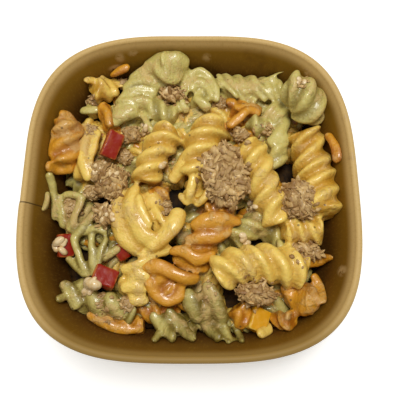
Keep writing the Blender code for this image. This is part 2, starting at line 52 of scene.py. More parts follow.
# The bowl, as in the solids, with finer steps.
RIM_HALF = 85.6 * MM
FOOT_HALF = 70.0 * MM
BOWL_HEIGHT = 60.0 * MM
CURL = 3.4 * MM
BOARD = 0.7 * MM
FLOOR_HEIGHT = 5.0 * MM
HEM_DEPTH = 4.0 * MM
SQUARENESS = 3.3
BOWL_STEPS = 288
WALL_STEPS = 16
FIT_GAP = 0.35 * MM
WELD = 0.001 * MM
SEAM_BEARING = math.radians(186.5)
SEAM_STEP = 0.3 * MM
SEAM_FADE = math.radians(24.0)
SEAM_EASE = 0.7
SEAM_AT = 6.7 * MM
SEAM_LEAN = 0.05
WALL_WAVER = 0.35 * MM
WALL_WAVES = 28.0
MOST_INWARD = 0.9 * MM
SKIRT_BOTTOM = 0.8 * MM
BASE_GAP = 1.2 * MM
SHARP_FROM = math.radians(42)

# The salad, whose top is a low dome, with a core under the pasta that shows.
DOME_MIDDLE = 37.0
DOME_EDGE = 31.0
CORE_DEPTH = 8.0
CORE_RINGS = 26
CORE_STEPS = 96
CORE_SIDE_GAP = 1.6 * MM
CORE_BUMP = 2.5 * MM
CORE_BUMP_SIZE = 9.0 * MM

# Places in the salad are read on a level plane, as seen from the eye, in millimetres.
EYE = Vector((5.1, -56.3, 254.3))
LOOK_AT = Vector((5.1, -8.8, 60.0))
READING_HEIGHT = 48.0
LENS = 36.18
SENSOR = 36.0

# The pasta.
STEP_ALONG = 0.9 * MM
STEPS_ROUND = 36
FIN_COUNT = 3
VALLEY = 0.6
FIN_FATNESS = 0.27
FIN_SKEW = 0.35
END_SHARE = 0.8
END_LENGTH = 2.6 * MM
STRIP_LEAD = 400
STRIP_VALUES = {
    "Fins": 2.0,
    "Fin Start": math.pi,
    "Fin Skew": 0.0,
    "Valley": 1.0,
    "Steps Round": 20,
    "Flatness": 0.6,
    "End Share": 0.25,
    "End Length": 3.0 * MM,
}
PATH_STEP = 2 * MM
TURN_SWING = 1.6
TURN_SWING_WAVES = 45.0
SWELL_WAVES = 60.0
WAVER = 2.6 * MM
WAVER_WAVES = 85.0
WALL_MARGIN = 0.72
WALL_GAP = 0.5 * MM
BLEND_FAT = 0.5 * MM
BLEND_GRAIN = 0.84 * MM
BLEND_SOFTNESS = 0.5
BLEND_STEPS = 2
CLIMB = 13.0
CLIMB_STEP = 0.5

# The twists under those that show, drawn at random: where they lie, how long and thick they are,
# how far below the dome, how far out they may reach, and how finely they are divided.
UNDER_COUNT = 170
UNDER_SEED = 11
UNDER_ACROSS = (-74.0, 74.0)
UNDER_UP = (-72.0, 74.0)
UNDER_LENGTHS = (24.0, 38.0)
UNDER_HALVES = (6.0, 7.5)
UNDER_LIFTS = (-7.5, -4.0)
UNDER_LEAD = 26
UNDER_REACH = 0.96
UNDER_STEPS_ROUND = 16
UNDER_STEP_ALONG = 1.9 * MM
UNDER_COLOURS = ("yellow", "green", "orange")
UNDER_SHARES = (3, 4, 2)

# Each twist: half its thickness, the length of one full turn of its fins, the turn at its first
# end in degrees, the places that its middle passes, each x, y and the lift above the dome, and for
# one how pale it is.
GREEN_TWISTS = (
    (10.4, 30, 20, ((-9, 74, 5), (-22, 62, 2), (-36, 44, 0))),
    (8.6, 26, 0, ((4, 63, 0), (5, 56, -1), (7, 47, -1))),
    (7.6, 23, 40, ((16, 61, 1), (34, 59, 1), (52, 56, 1))),
    (10.4, 26, 0, ((59, 64, 4), (65, 52, 6), (64, 42, 4))),
    (6.8, 30, 60, ((50, 47, 1), (48, 30, 2), (46, 14, 1))),
    (6.0, 24, 0, ((33, 40, 3), (41, 33, 3))),
    (8.0, 28, 90, ((21, -28, 0), (37, -16, -1))),
    (7.0, 26, 0, ((33, -11, -2), (47, -31, -3))),
    (8.0, 28, 10, ((-63, -3, -3), (-61, -12, -3), (-57, -26, -3))),
    (7.4, 27, 50, ((-62, -52, -3), (-49, -58, -3), (-35, -61, -3))),
    (7.4, 26, 80, ((-14, -65, -4), (-6, -69, -4), (3, -73, -4))),
    (9.0, 28, 30, ((5, -53, -3), (10, -62, -3), (15, -72, -4))),
    (5.6, 26, 0, ((-62, 50, -1), (-52, 46, -1))),
    (7.0, 26, 0, ((-24, 48, 1), (-8, 40, 1))),
    (6.0, 26, 0, ((20, 58, -1), (36, 48, -1))),
)
YELLOW_TWISTS = (
    (6.4, 30, 0, ((-55, 60, 0), (-45, 56, 0))),
    (7.0, 40, 70, ((-55, 35, 1), (-57, 20, 2), (-56, 5, 1))),
    (9.6, 27, 30, ((-10, 33, 5), (-19, 20, 6), (-24, 4, 5))),
    (10.2, 27, 0, ((13, 38, 7), (5, 22, 8), (0, 7, 5))),
    (7.0, 27, 0, ((3, 4, 0), (2, -6, 0))),
    (9.2, 29, 20, ((31, 26, 7), (38, 6, 8), (45, -19, 7))),
    (8.6, 26, 60, ((48, -21, 5), (58, -22, 5), (69, -23, 4))),
    (11.5, 30, 0, ((62, 32, 6), (66, 12, 7), (69, -14, 5))),
    (6.6, 28, 20, ((-33, -45, -1), (-26, -55, -1))),
    (10.4, 27, 50, ((13, -45, 6), (34, -39, 7), (57, -44, 6)), 1.3),
)
ORANGE_TWISTS = (
    (8.8, 34, 0, ((-68, 40, 1), (-68, 26, 1), (-68, 13, 1))),
    (5.6, 24, 0, ((22, 47, 0), (39, 44, 0))),
    (10.2, 35, 30, ((13, -18, -1), (7, -28, -1), (0, -41, -1))),
    (8.2, 28, 0, ((-14, -43, 0), (-12, -54, 0))),
    (5.6, 26, 0, ((-49, -65, -2), (-36, -68, -2), (-22, -69, -2))),
    (5.4, 24, 0, ((22, -61, 1), (27, -69, 0))),
    (5.0, 24, 0, ((41, -66, 0), (51, -68, 0))),
    (5.4, 22, 0, ((7, -10, 2), (23, -13, 2))),
    (6.0, 24, 0, ((-22, -4, 1), (-11, -3, 1))),
    (5.0, 24, 0, ((-50, 49, 2), (-43, 34, 2))),
)

# Each strip, a fin or band of pasta that shows by itself: half its width, or half its width from
# end to end, the places that its middle passes, and for some how pale it is.
GREEN_STRIPS = (
    ((3.6, 5.4, 5.4, 3.6), ((-27, 71, 11), (-18, 76, 14), (-9, 77, 14), (-2, 73, 12))),
    ((2.6, 3.6, 3.4, 2.2), ((-35, 64, 9), (-26, 70, 12), (-17, 70, 12), (-7, 66, 10))),
    ((2.6, 3.6, 3.2, 2.0), ((-38, 58, 8), (-30, 64, 10), (-20, 64, 10), (-11, 61, 8))),
    ((2.6, 3.4, 3.4, 2.8), ((-41, 50, 6), (-34, 56, 8), (-26, 58, 8), (-19, 56, 7))),
    ((2.6, 3.4, 3.4, 2.4), ((-43, 43, 5), (-37, 49, 7), (-29, 51, 7), (-22, 50, 6))),
    ((3.0, 4.8, 4.0), ((-44, 36, 4), (-38, 43, 6), (-29, 46, 5))),
    (2.6, ((-5, 54, 6), (-2, 64, 8), (4, 70, 9), (10, 66, 8), (14, 58, 7), (14, 50, 5))),
    (2.4, ((0, 57, 7), (4, 63, 8), (9, 60, 8), (12, 52, 6))),
    (2.6, ((-5, 58, 4), (-6, 50, 5), (-1, 45, 4))),
    (3.0, ((2, 54, 5), (6, 50, 6), (11, 46, 4))),
    (1.7, ((15, 68, 5), (20, 61, 7), (27, 53, 5))),
    (2.3, ((21, 66, 4), (27, 61, 6), (33, 55, 5))),
    (1.6, ((30, 64, 5), (36, 58, 7), (42, 51, 6))),
    (1.5, ((35, 67, 7), (40, 60, 9), (47, 51, 7))),
    (1.5, ((40, 65, 6), (45, 58, 8), (50, 51, 6))),
    ((2.6, 3.4, 3.0, 1.8), ((45, 67, 6), (49, 60, 8), (53, 52, 8), (56, 46, 6))),
    (0.7, ((39, 64, 9), (46, 67, 10), (53, 70, 9)), 1.4),
    ((3.0, 4.2, 2.4), ((41, 42, 5), (46, 46, 6), (52, 49, 5))),
    (4.2, ((42, 25, 5), (47, 28, 6), (53, 31, 5))),
    (3.4, ((42, 17, 4), (47, 20, 5), (52, 23, 4))),
    (2.8, ((42, 12, 4), (46, 14, 5), (51, 17, 4))),
    (5.0, ((13, 60, -2), (20, 52, -2))),
    (2.2, ((-27, 44, 3), (-24, 38, 5), (-21, 32, 4))),
    (2.7, ((-62, 45, 3), (-56, 46, 4), (-51, 47, 3))),
    (2.4, ((-77, 10, 4), (-74, 3, 5), (-72, -6, 5), (-71, -17, 3))),
    (1.9, ((-76, -1, 3), (-76, -6, 3), (-77, -12, 2))),
    (2.4, ((-69, -5, 5), (-68, -12, 6), (-66, -21, 4))),
    (2.2, ((-68, -4, 5), (-62, -3, 7), (-55, -6, 5))),
    (2.3, ((-57, -4, 5), (-60, -13, 7), (-63, -23, 5))),
    (2.5, ((-50, -12, 5), (-55, -19, 6), (-60, -28, 4))),
    (2.2, ((-60, -24, 5), (-58, -32, 6), (-54, -40, 6), (-51, -46, 6))),
    (2.1, ((-63, -36, 3), (-57, -41, 5), (-52, -46, 6))),
    (2.2, ((-51, -23, 5), (-50, -34, 7), (-48, -46, 7))),
    (2.1, ((-43, -25, 5), (-46, -34, 7), (-49, -45, 7))),
    (2.2, ((-55, -24, 4), (-49, -21, 6), (-43, -24, 5))),
    (2.6, ((-46, -37, 4), (-41, -34, 5), (-36, -30, 4))),
    ((3.0, 4.6, 3.6), ((-65, -48, 2), (-60, -53, 4), (-55, -61, 2))),
    ((3.0, 4.4, 3.6), ((-51, -51, 3), (-47, -58, 4), (-42, -65, 1))),
    ((3.0, 4.4, 3.6), ((-41, -53, 3), (-37, -60, 4), (-32, -66, 1))),
    (2.2, ((-67, -58, 1), (-61, -55, 2))),
    (1.9, ((-27, -60, 4), (-29, -65, 4), (-31, -69, 2))),
    ((2.6, 4.2, 3.2), ((-19, -63, 1), (-13, -70, 2), (-8, -77, 0))),
    ((2.6, 3.8, 3.0), ((-11, -61, 2), (-5, -69, 3), (3, -77, 0))),
    (2.0, ((-14, -72, 1), (-18, -77, 0))),
    ((3.0, 4.8, 3.2), ((-1, -51, 4), (1, -60, 5), (5, -68, 3))),
    ((3.0, 4.6, 3.2), ((7, -49, 5), (13, -58, 6), (17, -68, 3))),
    ((2.6, 4.0, 2.8), ((5, -65, 3), (10, -71, 2), (15, -78, 0))),
    (2.3, ((17, -69, 3), (19, -75, 2), (19, -80, 1))),
    (2.1, ((21, -68, 3), (24, -73, 2), (26, -79, 1))),
    (2.3, ((46, -27, 5), (47, -33, 6), (48, -39, 6)), 1.2),
    (3.6, ((41, -54, 0), (45, -60, -1), (48, -65, -2))),
)
YELLOW_STRIPS = (
    (2.3, ((-62, 65, 3), (-56, 64, 5), (-51, 61, 6))),
    (2.7, ((-52, 66, 4), (-47, 63, 7), (-43, 57, 6), (-42, 54, 4))),
    (2.1, ((-56, 61, 3), (-53, 55, 5), (-51, 50, 3))),
    (2.0, ((-45, 66, 4), (-41, 63, 5), (-38, 60, 5))),
    (2.8, ((-56, 36, 6), (-58, 26, 8), (-59, 16, 9), (-54, 5, 8)), 0.9),
    (2.6, ((-51, 34, 5), (-53, 24, 7), (-55, 15, 8), (-52, 7, 7)), 0.7),
    (
        (2.5, 4.6, 5.2, 5.2, 3.6),
        ((-34, 1, 5), (-38, -8, 6), (-37, -18, 6), (-32, -28, 6), (-25, -35, 5)),
        0.4,
    ),
    (
        (2.6, 4.2, 4.6, 4.4, 3.6),
        ((-29, 3, 6), (-31, -7, 8), (-30, -16, 9), (-24, -25, 9), (-16, -27, 8)),
        0.6,
    ),
    ((4.2, 5.6, 5.6, 4.6), ((-6, -10, 6), (-8, -18, 8), (-14, -25, 8), (-22, -31, 7)), 0.7),
    (2.8, ((-28, -33, 5), (-18, -34, 6), (-9, -31, 6)), 0.5),
    ((4.0, 6.4, 5.6, 3.0), ((-22, -1, 3), (-20, -8, 4), (-18, -17, 4), (-17, -23, 4)), 0.0),
    ((1.8, 2.4, 1.8), ((-27, -3, 9), (-25, -12, 11), (-20, -20, 10)), 0.8),
    ((1.8, 2.2, 1.8), ((-20, -9, 8), (-17, -14, 9), (-13, -19, 9)), 0.8),
    (2.7, ((-35, -43, 5), (-27, -40, 7), (-17, -36, 6)), 1.0),
    (2.9, ((-31, -47, 5), (-25, -45, 7), (-20, -46, 6)), 1.2),
    (3.1, ((-34, -52, 4), (-28, -50, 6), (-22, -54, 5)), 1.2),
    (2.7, ((-30, -56, 4), (-25, -58, 5), (-21, -56, 4)), 1.0),
    (3.8, ((-10, 4, 6), (-6, 11, 9), (-1, 20, 9))),
    (2.7, ((-1, -6, 8), (1, 3, 11), (4, 12, 10))),
    (2.3, ((2, -9, 7), (8, -4, 9), (11, 4, 8))),
    (2.1, ((-6, -2, 6), (-3, -6, 7), (0, -8, 7))),
    (2.1, ((56, 2, 8), (66, 4, 10), (77, 8, 9))),
    (3.4, ((51, -15, 7), (54, -21, 8), (58, -27, 6)), 1.0),
    (3.4, ((33, -74, 2), (40, -70, 2))),
)
ORANGE_STRIPS = (
    ((2.2, 3.2, 2.8), ((-46, 67, 8), (-40, 71, 10), (-35, 73, 10))),
    ((3.0, 5.0, 3.4), ((-9, -36, 3), (-1, -39, 4), (6, -42, 3)), 0.0),
    (2.8, ((-51, 49, 4), (-46, 43, 7), (-46, 35, 6))),
    ((2.4, 4.6, 5.6, 3.8), ((-76, 46, 6), (-70, 42, 8), (-67, 36, 8), (-66, 29, 7)), 0.5),
    (3.2, ((-74, 31, 5), (-75, 24, 6), (-75, 17, 6))),
    (3.2, ((-67, 30, 6), (-67, 22, 7), (-67, 15, 6))),
    (3.0, ((-78, 14, 7), (-71, 11, 8), (-63, 12, 8)), 1.2),
    (2.7, ((75, 32, 8), (79, 24, 8), (82, 15, 7))),
    (2.8, ((20, 35, 5), (27, 41, 7), (33, 46, 7), (39, 43, 5))),
    (2.4, ((24, 47, 5), (30, 48, 6), (37, 48, 5))),
    (2.6, ((19, 51, 4), (26, 50, 5))),
    ((3.0, 4.6, 4.4, 2.2), ((0, -20, 6), (8, -17, 9), (18, -16, 9), (27, -18, 6))),
    ((2.8, 3.8, 3.8, 2.2), ((-3, -28, 7), (5, -26, 9), (14, -25, 9), (22, -22, 6))),
    ((2.2, 3.4, 3.6, 2.4), ((-11, -33, 7), (-4, -33, 9), (5, -37, 9), (13, -33, 7)), 1.0),
    ((3.0, 4.2, 4.2, 2.8), ((-25, -41, 6), (-15, -41, 8), (-4, -46, 9), (5, -47, 6)), 0.8),
    (
        (2.2, 3.2, 3.2, 3.2, 2.0),
        ((-21, -46, 7), (-18, -54, 6), (-11, -58, 6), (-5, -55, 6), (-5, -48, 6)),
        1.0,
    ),
    ((2.2, 2.8, 2.8, 2.2), ((-51, -64, 2), (-43, -68, 3), (-34, -71, 3), (-22, -71, 2))),
    ((6.0, 8.4, 8.0, 5.6), ((48, -52, 2), (54, -55, 3), (60, -58, 3), (64, -61, 2))),
    (3.4, ((47, -49, 4), (51, -56, 6), (56, -64, 3))),
    (3.6, ((53, -48, 4), (58, -55, 6), (63, -62, 3))),
    (2.6, ((62, -44, 4), (65, -51, 5), (67, -59, 3)), 1.2),
    ((1.8, 3.4, 3.4, 1.5), ((54, -41, 3), (60, -38, 5), (67, -37, 4), (73, -36, 3))),
    (2.3, ((22, -61, 3), (24, -66, 3), (27, -71, 2))),
    (2.3, ((26, -58, 3), (29, -64, 3), (31, -69, 2))),
    (2.8, ((40, -66, 2), (46, -68, 3), (51, -67, 2))),
    (2.2, ((-44, 5, 11), (-37, 1, 10))),
)

# Gaps between the twists that stay deep and dark: x, y and radius.
DEEP_GAPS = (
    (-7, -6, 4),
    (-62, -42, 7),
    (-71, -14, 6),
    (25, -50, 6),
    (53, 9, 5),
    (-54, 51, 4),
    (-43, -8, 3),
    (34, -26, 3),
    (-14, -37, 3),
)

# The studio. Each light has its place and its width in metres, and its power in watts.
LIGHTS = {
    "key": ((0.03, 0.16, 0.75), 0.26, 3.0),
    "glint": ((-0.06, 0.02, 0.62), 0.06, 0.4),
}
LIT_HEIGHT = 0.04
SKY_STRENGTH = 0.33
SKY_TINT = (1.0, 0.99, 0.97, 1.0)
FLOOR_SIZE = 3.0
FLOOR_GLOW = 0.42
WHITE = (1.0, 1.0, 1.0, 1.0)

# Each dice of pepper: its name, its middle, its sides and how it is turned, in degrees.
PEPPER_DICE = (
    ("red_pepper_1", (-43, 25, 10), (9.0, 15.0, 8.0), (10, 26, -17)),
    ("red_pepper_2", (-69, -32, 4), (8.5, 12.5, 6.0), (10, 28, 8)),
    ("red_pepper_3", (-43, -46, 7), (12.5, 10.0, 7.0), (-16, 14, -20)),
    ("red_pepper_4", (-35, -33, 1), (7.0, 9.0, 6.0), (20, 0, 30)),
    ("yellow_pepper_1", (35, -69, 5), (9.5, 12.0, 6.5), (-10, 12, -24)),
)
PEPPER_CUTS = 12
PEPPER_ROUNDING = 1.1 * MM
PEPPER_DENT = 0.35 * MM
PEPPER_DENT_WAVES = 300.0
PEPPER_EDGE = 0.9 * MM
PEPPER_MARGIN = 1.5 * MM

# Each lump of tuna: its name, its middle, its sides, its turn about the upright in degrees, how
# finely it is divided, and the seed of its crags.
TUNA_LUMPS = (
    ("tuna_lump_1", (18, 8, 11), (25, 35, 13), 12, 5, 1.0),
    ("tuna_lump_2", (58, -6, 14), (20, 21, 12), -10, 5, 2.0),
    ("tuna_lump_3", (33, -54, 9), (23, 10, 11), -8, 5, 3.0),
    ("tuna_lump_4", (59, -33, 7), (17, 9, 9), -6, 5, 4.0),
    ("tuna_lump_5", (-42, 4, 7), (16, 20, 12), 16, 5, 5.0),
    ("tuna_lump_6", (-45, -14, 7), (9, 13, 10), 4, 5, 6.0),
    ("tuna_lump_7", (-10, 55, 6), (14, 9, 9), -4, 5, 7.0),
)
LUMP_ROUGHNESS = 0.34
LUMP_SHRINK = 0.86
FLAKES_PER_AREA = 0.26
FLAKE_LENGTHS = (3.0, 9.0)
CRUMBS_PER_AREA = 0.22
CRUMB_LENGTHS = (1.5, 4.0)
FLAKE_SEED = 5
FLAKE_WAVER = 1.2 * MM
CRUMB_WAVER = 1.0 * MM
CRUMB_WAVES = 320.0
LUMP_TONE = 0.35

# The forms of a flake and a crumb: sections along it, points round each, half its width, how many
# fibres and how deep the grooves between them.
FLAKE_FORM = (6, 10, 0.2, 2, 0.5)
CRUMB_FORM = (5, 8, 0.24, 2, 0.3)
BLOB_HEIGHT = 0.6

# Each dab of the wet mix of fish and dressing that fills a hollow: its middle and its sides.
MIX_DABS = (
    ((-33, 31, 3), (12, 11, 8)),
    ((-36, 18, 3), (9, 12, 8)),
    ((-48, 10, 7), (13, 15, 9)),
    ((-52, -2, 5), (9, 10, 8)),
    ((-38, -9, 5), (7, 10, 8)),
    ((-62, -10, 4), (14, 12, 6)),
    ((-57, 54, 2), (9, 9, 8)),
    ((-55, 32, 5), (10, 12, 8)),
    ((-66, 22, 6), (11, 13, 6)),
    ((40, 35, 4), (15, 8, 8)),
    ((27, 31, 4), (10, 8, 8)),
    ((-13, -10, 3), (9, 8, 7)),
    ((-44, -58, 4), (11, 9, 5)),
    ((-31, -59, 4), (9, 9, 5)),
    ((10, -55, 5), (7, 10, 5)),
    ((57, -23, 6), (8, 8, 5)),
    ((63, 62, 8), (10, 7, 6)),
    ((-13, 44, 1), (11, 9, 7)),
    ((34, -13, 1), (12, 8, 6)),
    ((-41, 66, 4), (8, 7, 6)),
    ((16, 50, 1), (9, 9, 7)),
)
MIX_FINENESS = 4
MIX_TURN = 37
MIX_SEED = 20.0
MIX_TONE = 0.5

# Crumbs lie only where the food faces up by at least this much.
LEAST_UPWARD = 0.2
TUNA_CRUMBS_SEED = 21
DRESSING_SEED = 22

# Patches of crumbs that lie on the food: x, y, radius, how many and how large.
TUNA_CRUMBS = (
    (18, 8, 16, 60, 2.2),
    (-27, 32, 5, 14, 2.4),
    (27, 30, 6, 16, 2.2),
    (-12, 15, 4, 8, 2.2),
    (-14, -10, 5, 12, 2.0),
    (41, 34, 7, 16, 2.0),
    (64, 62, 5, 10, 1.8),
    (-44, 12, 10, 34, 1.8),
    (-44, -8, 8, 30, 1.8),
    (-38, -60, 9, 22, 1.8),
    (-57, 53, 5, 10, 2.2),
    (-10, 56, 8, 22, 2.0),
    (58, -6, 12, 34, 2.0),
    (34, -53, 10, 24, 2.0),
    (59, -33, 8, 16, 2.0),
    (8, 12, 6, 12, 1.8),
    (9, -52, 5, 8, 1.6),
)
DRESSING_CLUMPS = (
    (-50, -48, 2, 6, 4.2),
    (-51, -52, 2, 5, 3.8),
    (-66, -30, 3, 5, 2.8),
    (-43, -13, 5, 12, 2.4),
    (-45, 12, 8, 10, 2.2),
    (-14, 58, 3, 5, 2.6),
    (-27, 34, 3, 4, 2.6),
    (28, -27, 3, 5, 2.6),
    (-15, 14, 2, 3, 2.4),
    (62, 63, 3, 4, 2.0),
    (33, -10, 4, 5, 2.2),
)

# Places where dressing coats the pasta: x, y and radius on the level plane.
COATED_PLACES = (
    (-62, 30, 15),
    (-50, 12, 14),
    (-42, 2, 12),
    (-58, -12, 13),
    (-38, -61, 11),
    (-50, -50, 8),
    (-26, -56, 7),
    (57, -23, 8),
    (8, -56, 8),
    (62, 60, 8),
    (-24, 22, 6),
)

# Each smear of dressing on the wall: its middle and its half sizes, in metres.
WALL_SMEARS = (
    ((-0.0475, 0.0795, 0.054), (0.004, 0.004, 0.008)),
    ((-0.041, 0.0785, 0.050), (0.004, 0.004, 0.005)),
    ((-0.033, 0.079, 0.052), (0.004, 0.004, 0.003)),
    ((0.009, 0.081, 0.047), (0.004, 0.004, 0.005)),
    ((0.0775, -0.043, 0.049), (0.004, 0.004, 0.006)),
    ((-0.045, 0.076, 0.044), (0.007, 0.004, 0.003)),
    ((0.083, 0.036, 0.0585), (0.004, 0.003, 0.004)),
    ((0.084, 0.014, 0.0585), (0.004, 0.004, 0.004)),
    ((0.066, 0.066, 0.054), (0.005, 0.005, 0.004)),
)

# Colours as they are seen, in 8-bit steps, made linear.


def seen(red, green, blue):
    """A colour given as seen on a screen, as the linear colour that a shader takes."""
    linear = []
    for step in (red, green, blue):
        share = step / 255
        linear.append(share / 12.92 if share <= 0.04045 else ((share + 0.055) / 1.055) ** 2.4)
    return (*linear, 1.0)


# The pasta's crest colours are painted light on the fins' crests, and its valley colours are painted
# shade in the creases.
YELLOW_CREST_LIT = seen(244, 208, 100)
YELLOW_VALLEY_SHADED = seen(194, 138, 22)
GREEN_CREST_LIT = seen(208, 192, 108)
GREEN_VALLEY_SHADED = seen(120, 100, 30)
ORANGE_CREST_LIT = seen(220, 156, 38)
ORANGE_VALLEY_SHADED = seen(160, 86, 0)
RESIDUE = seen(208, 172, 108)
SPECK = seen(90, 62, 24)
# The core's near black colours are painted shade for the deep gaps between the twists.
CORE_SHADE_DARK = seen(24, 14, 4)
CORE_SHADE_PALE = seen(66, 44, 14)
TUNA_PALE = seen(222, 186, 122)
TUNA_DARK = seen(142, 100, 48)
DRESSING = seen(238, 214, 168)
MIX_PALE = seen(222, 190, 132)
MIX_DARK = seen(164, 124, 64)
RED_SKIN = seen(146, 26, 0)
RED_FLESH = seen(190, 112, 50)
YELLOW_SKIN = seen(218, 154, 4)
YELLOW_FLESH = seen(236, 196, 84)
# Rim and wall colours that are lighter at the far side and darker at the near side are painted light
# and shade.
BOARD_RIM_LIT_FAR = seen(206, 172, 108)
BOARD_RIM_SHADED_NEAR = seen(154, 122, 62)
BOARD_WALL_LIT_FAR = seen(146, 108, 18)
BOARD_WALL_SHADED_NEAR = seen(122, 84, 4)
# Painted shade low on the inside wall.
BOARD_LOW_SHADE = seen(86, 50, 0)
BOARD_OUTSIDE = seen(162, 128, 72)
BOARD_FIBRE = seen(164, 126, 44)
BOARD_OIL = seen(92, 58, 2)
SMEAR = seen(186, 152, 96)
# Painted shadow along the lap's edge.
BOARD_SHADE = seen(50, 30, 4)
FLOOR_WHITE = seen(248, 248, 246)


class Num:
    """A number in a node tree: an expression on it lays the Math nodes that work it out."""

    def __init__(self, board, socket):
        self.board = board
        self.socket = socket

    def __add__(self, other):
        return self.board.calc("ADD", self, other)

    def __radd__(self, other):
        return self.board.calc("ADD", other, self)

    def __sub__(self, other):
        return self.board.calc("SUBTRACT", self, other)

    def __rsub__(self, other):
        return self.board.calc("SUBTRACT", other, self)

    def __mul__(self, other):
        return self.board.calc("MULTIPLY", self, other)

    def __truediv__(self, other):
        return self.board.calc("DIVIDE", self, other)

    def __pow__(self, other):
        return self.board.calc("POWER", self, other)

    def lowest(self, other):
        return self.board.calc("MINIMUM", self, other)

    def highest(self, other):
        return self.board.calc("MAXIMUM", self, other)

    def size(self):
        return self.board.calc("ABSOLUTE", self)

    def cosine(self):
        return self.board.calc("COSINE", self)

    def ramp(self, low, high):
        """0 at low, 1 at high, with soft ends."""
        settings = {"interpolation_type": "SMOOTHSTEP"}
        node = self.board.add("ShaderNodeMapRange", settings, {0: self, 1: low, 2: high})
        return Num(self.board, node.outputs[0])


class Board:
    """A node tree on which nodes are laid and joined."""

    def __init__(self, tree):
        self.tree = tree

    def add(self, kind, settings, values):
        """A node of this kind: its settings first, then the values or links of its sockets."""
        node = self.tree.nodes.new(kind)
        for name, value in settings.items():
            setattr(node, name, value)
        for place, value in values.items():
            if isinstance(value, Num):
                value = value.socket
            if isinstance(value, bpy.types.NodeSocket):
                self.tree.links.new(value, node.inputs[place])
            else:
                node.inputs[place].default_value = value
        return node

    def calc(self, operation, *values):
        node = self.add("ShaderNodeMath", {"operation": operation}, dict(enumerate(values)))
        return Num(self, node.outputs[0])

    def noise(self, place, scale, detail=2.0, roughness=0.5):
        """Cloudy noise from about 0.3 to 0.7 at this many lumps to the metre."""
        values = {"Vector": place, "Scale": scale, "Detail": detail, "Roughness": roughness}
        node = self.add("ShaderNodeTexNoise", {}, values)
        return Num(self, node.outputs["Fac"])

    def mixed(self, share, first, second):
        """Two colours mixed by a share."""
        settings = {"data_type": "RGBA"}
        return self.add("ShaderNodeMix", settings, {0: share, 6: first, 7: second}).outputs[2]

    def scaled(self, vector, factor):
        values = {0: vector, "Scale": factor}
        return self.add("ShaderNodeVectorMath", {"operation": "SCALE"}, values).outputs[0]

    def stretched(self, vector, factors):
        values = {0: vector, 1: factors}
        return self.add("ShaderNodeVectorMath", {"operation": "MULTIPLY"}, values).outputs[0]

    def shifted(self, vector, by):
        values = {0: vector, 1: by}
        return self.add("ShaderNodeVectorMath", {"operation": "SUBTRACT"}, values).outputs[0]

    def length(self, vector):
        node = self.add("ShaderNodeVectorMath", {"operation": "LENGTH"}, {0: vector})
        return Num(self, node.outputs["Value"])


# Trees of Geometry Nodes.


def new_tree(name, inputs):
    """A tree of Geometry Nodes with named inputs, and the identifier of each."""
    tree = bpy.data.node_groups.new(name, "GeometryNodeTree")
    tree.is_modifier = True
    tree.interface.new_socket("Geometry", in_out="INPUT", socket_type="NodeSocketGeometry")
    tree.interface.new_socket("Geometry", in_out="OUTPUT", socket_type="NodeSocketGeometry")
    keys = {}
    for label, kind in inputs:
        socket = tree.interface.new_socket(label, in_out="INPUT", socket_type=f"NodeSocket{kind}")
        keys[label] = socket.identifier
    return tree, keys


def point_value(board, name):
    node = board.add("GeometryNodeInputNamedAttribute", {"data_type": "FLOAT"}, {"Name": name})
    return Num(board, node.outputs[0])


def wavered(board, geometry, amount, scale):
    """The geometry with its points moved by a cloudy offset of up to about this amount."""
    place = board.add("GeometryNodeInputPosition", {}, {}).outputs[0]
    cloud = board.add("ShaderNodeTexNoise", {}, {"Vector": place, "Scale": scale, "Detail": 1.5})
    offset = board.scaled(board.shifted(cloud.outputs["Color"], (0.5, 0.5, 0.5)), amount)
    node = board.add("GeometryNodeSetPosition", {}, {"Geometry": geometry, "Offset": offset})
    return node.outputs[0]


def linked(name, mesh):
    """A plain object of this mesh, in the scene."""
    obj = bpy.data.objects.new(name, mesh)
    bpy.context.scene.collection.objects.link(obj)
    return obj


def freed(name, form):
    """A mesh of what was built in a form, which is then freed."""
    mesh = bpy.data.meshes.new(name)
    form.to_mesh(mesh)
    form.free()
    return mesh


def marked(mesh, label, values):
    """Puts one number on each point of the mesh under this label."""
    mesh.attributes.new(label, "FLOAT", "POINT").data.foreach_set("value", values)


def closing(board, geometry, material):
    """The last nodes of each tree: smooth shading, real geometry and the material."""
    smooth = board.add("GeometryNodeSetShadeSmooth", {}, {"Geometry": geometry})
    real = board.add("GeometryNodeRealizeInstances", {}, {"Geometry": smooth.outputs[0]})
    values = {"Geometry": real.outputs[0], "Material": material}
    dressed = board.add("GeometryNodeSetMaterial", {}, values)
    board.add("NodeGroupOutput", {}, {0: dressed.outputs[0]})


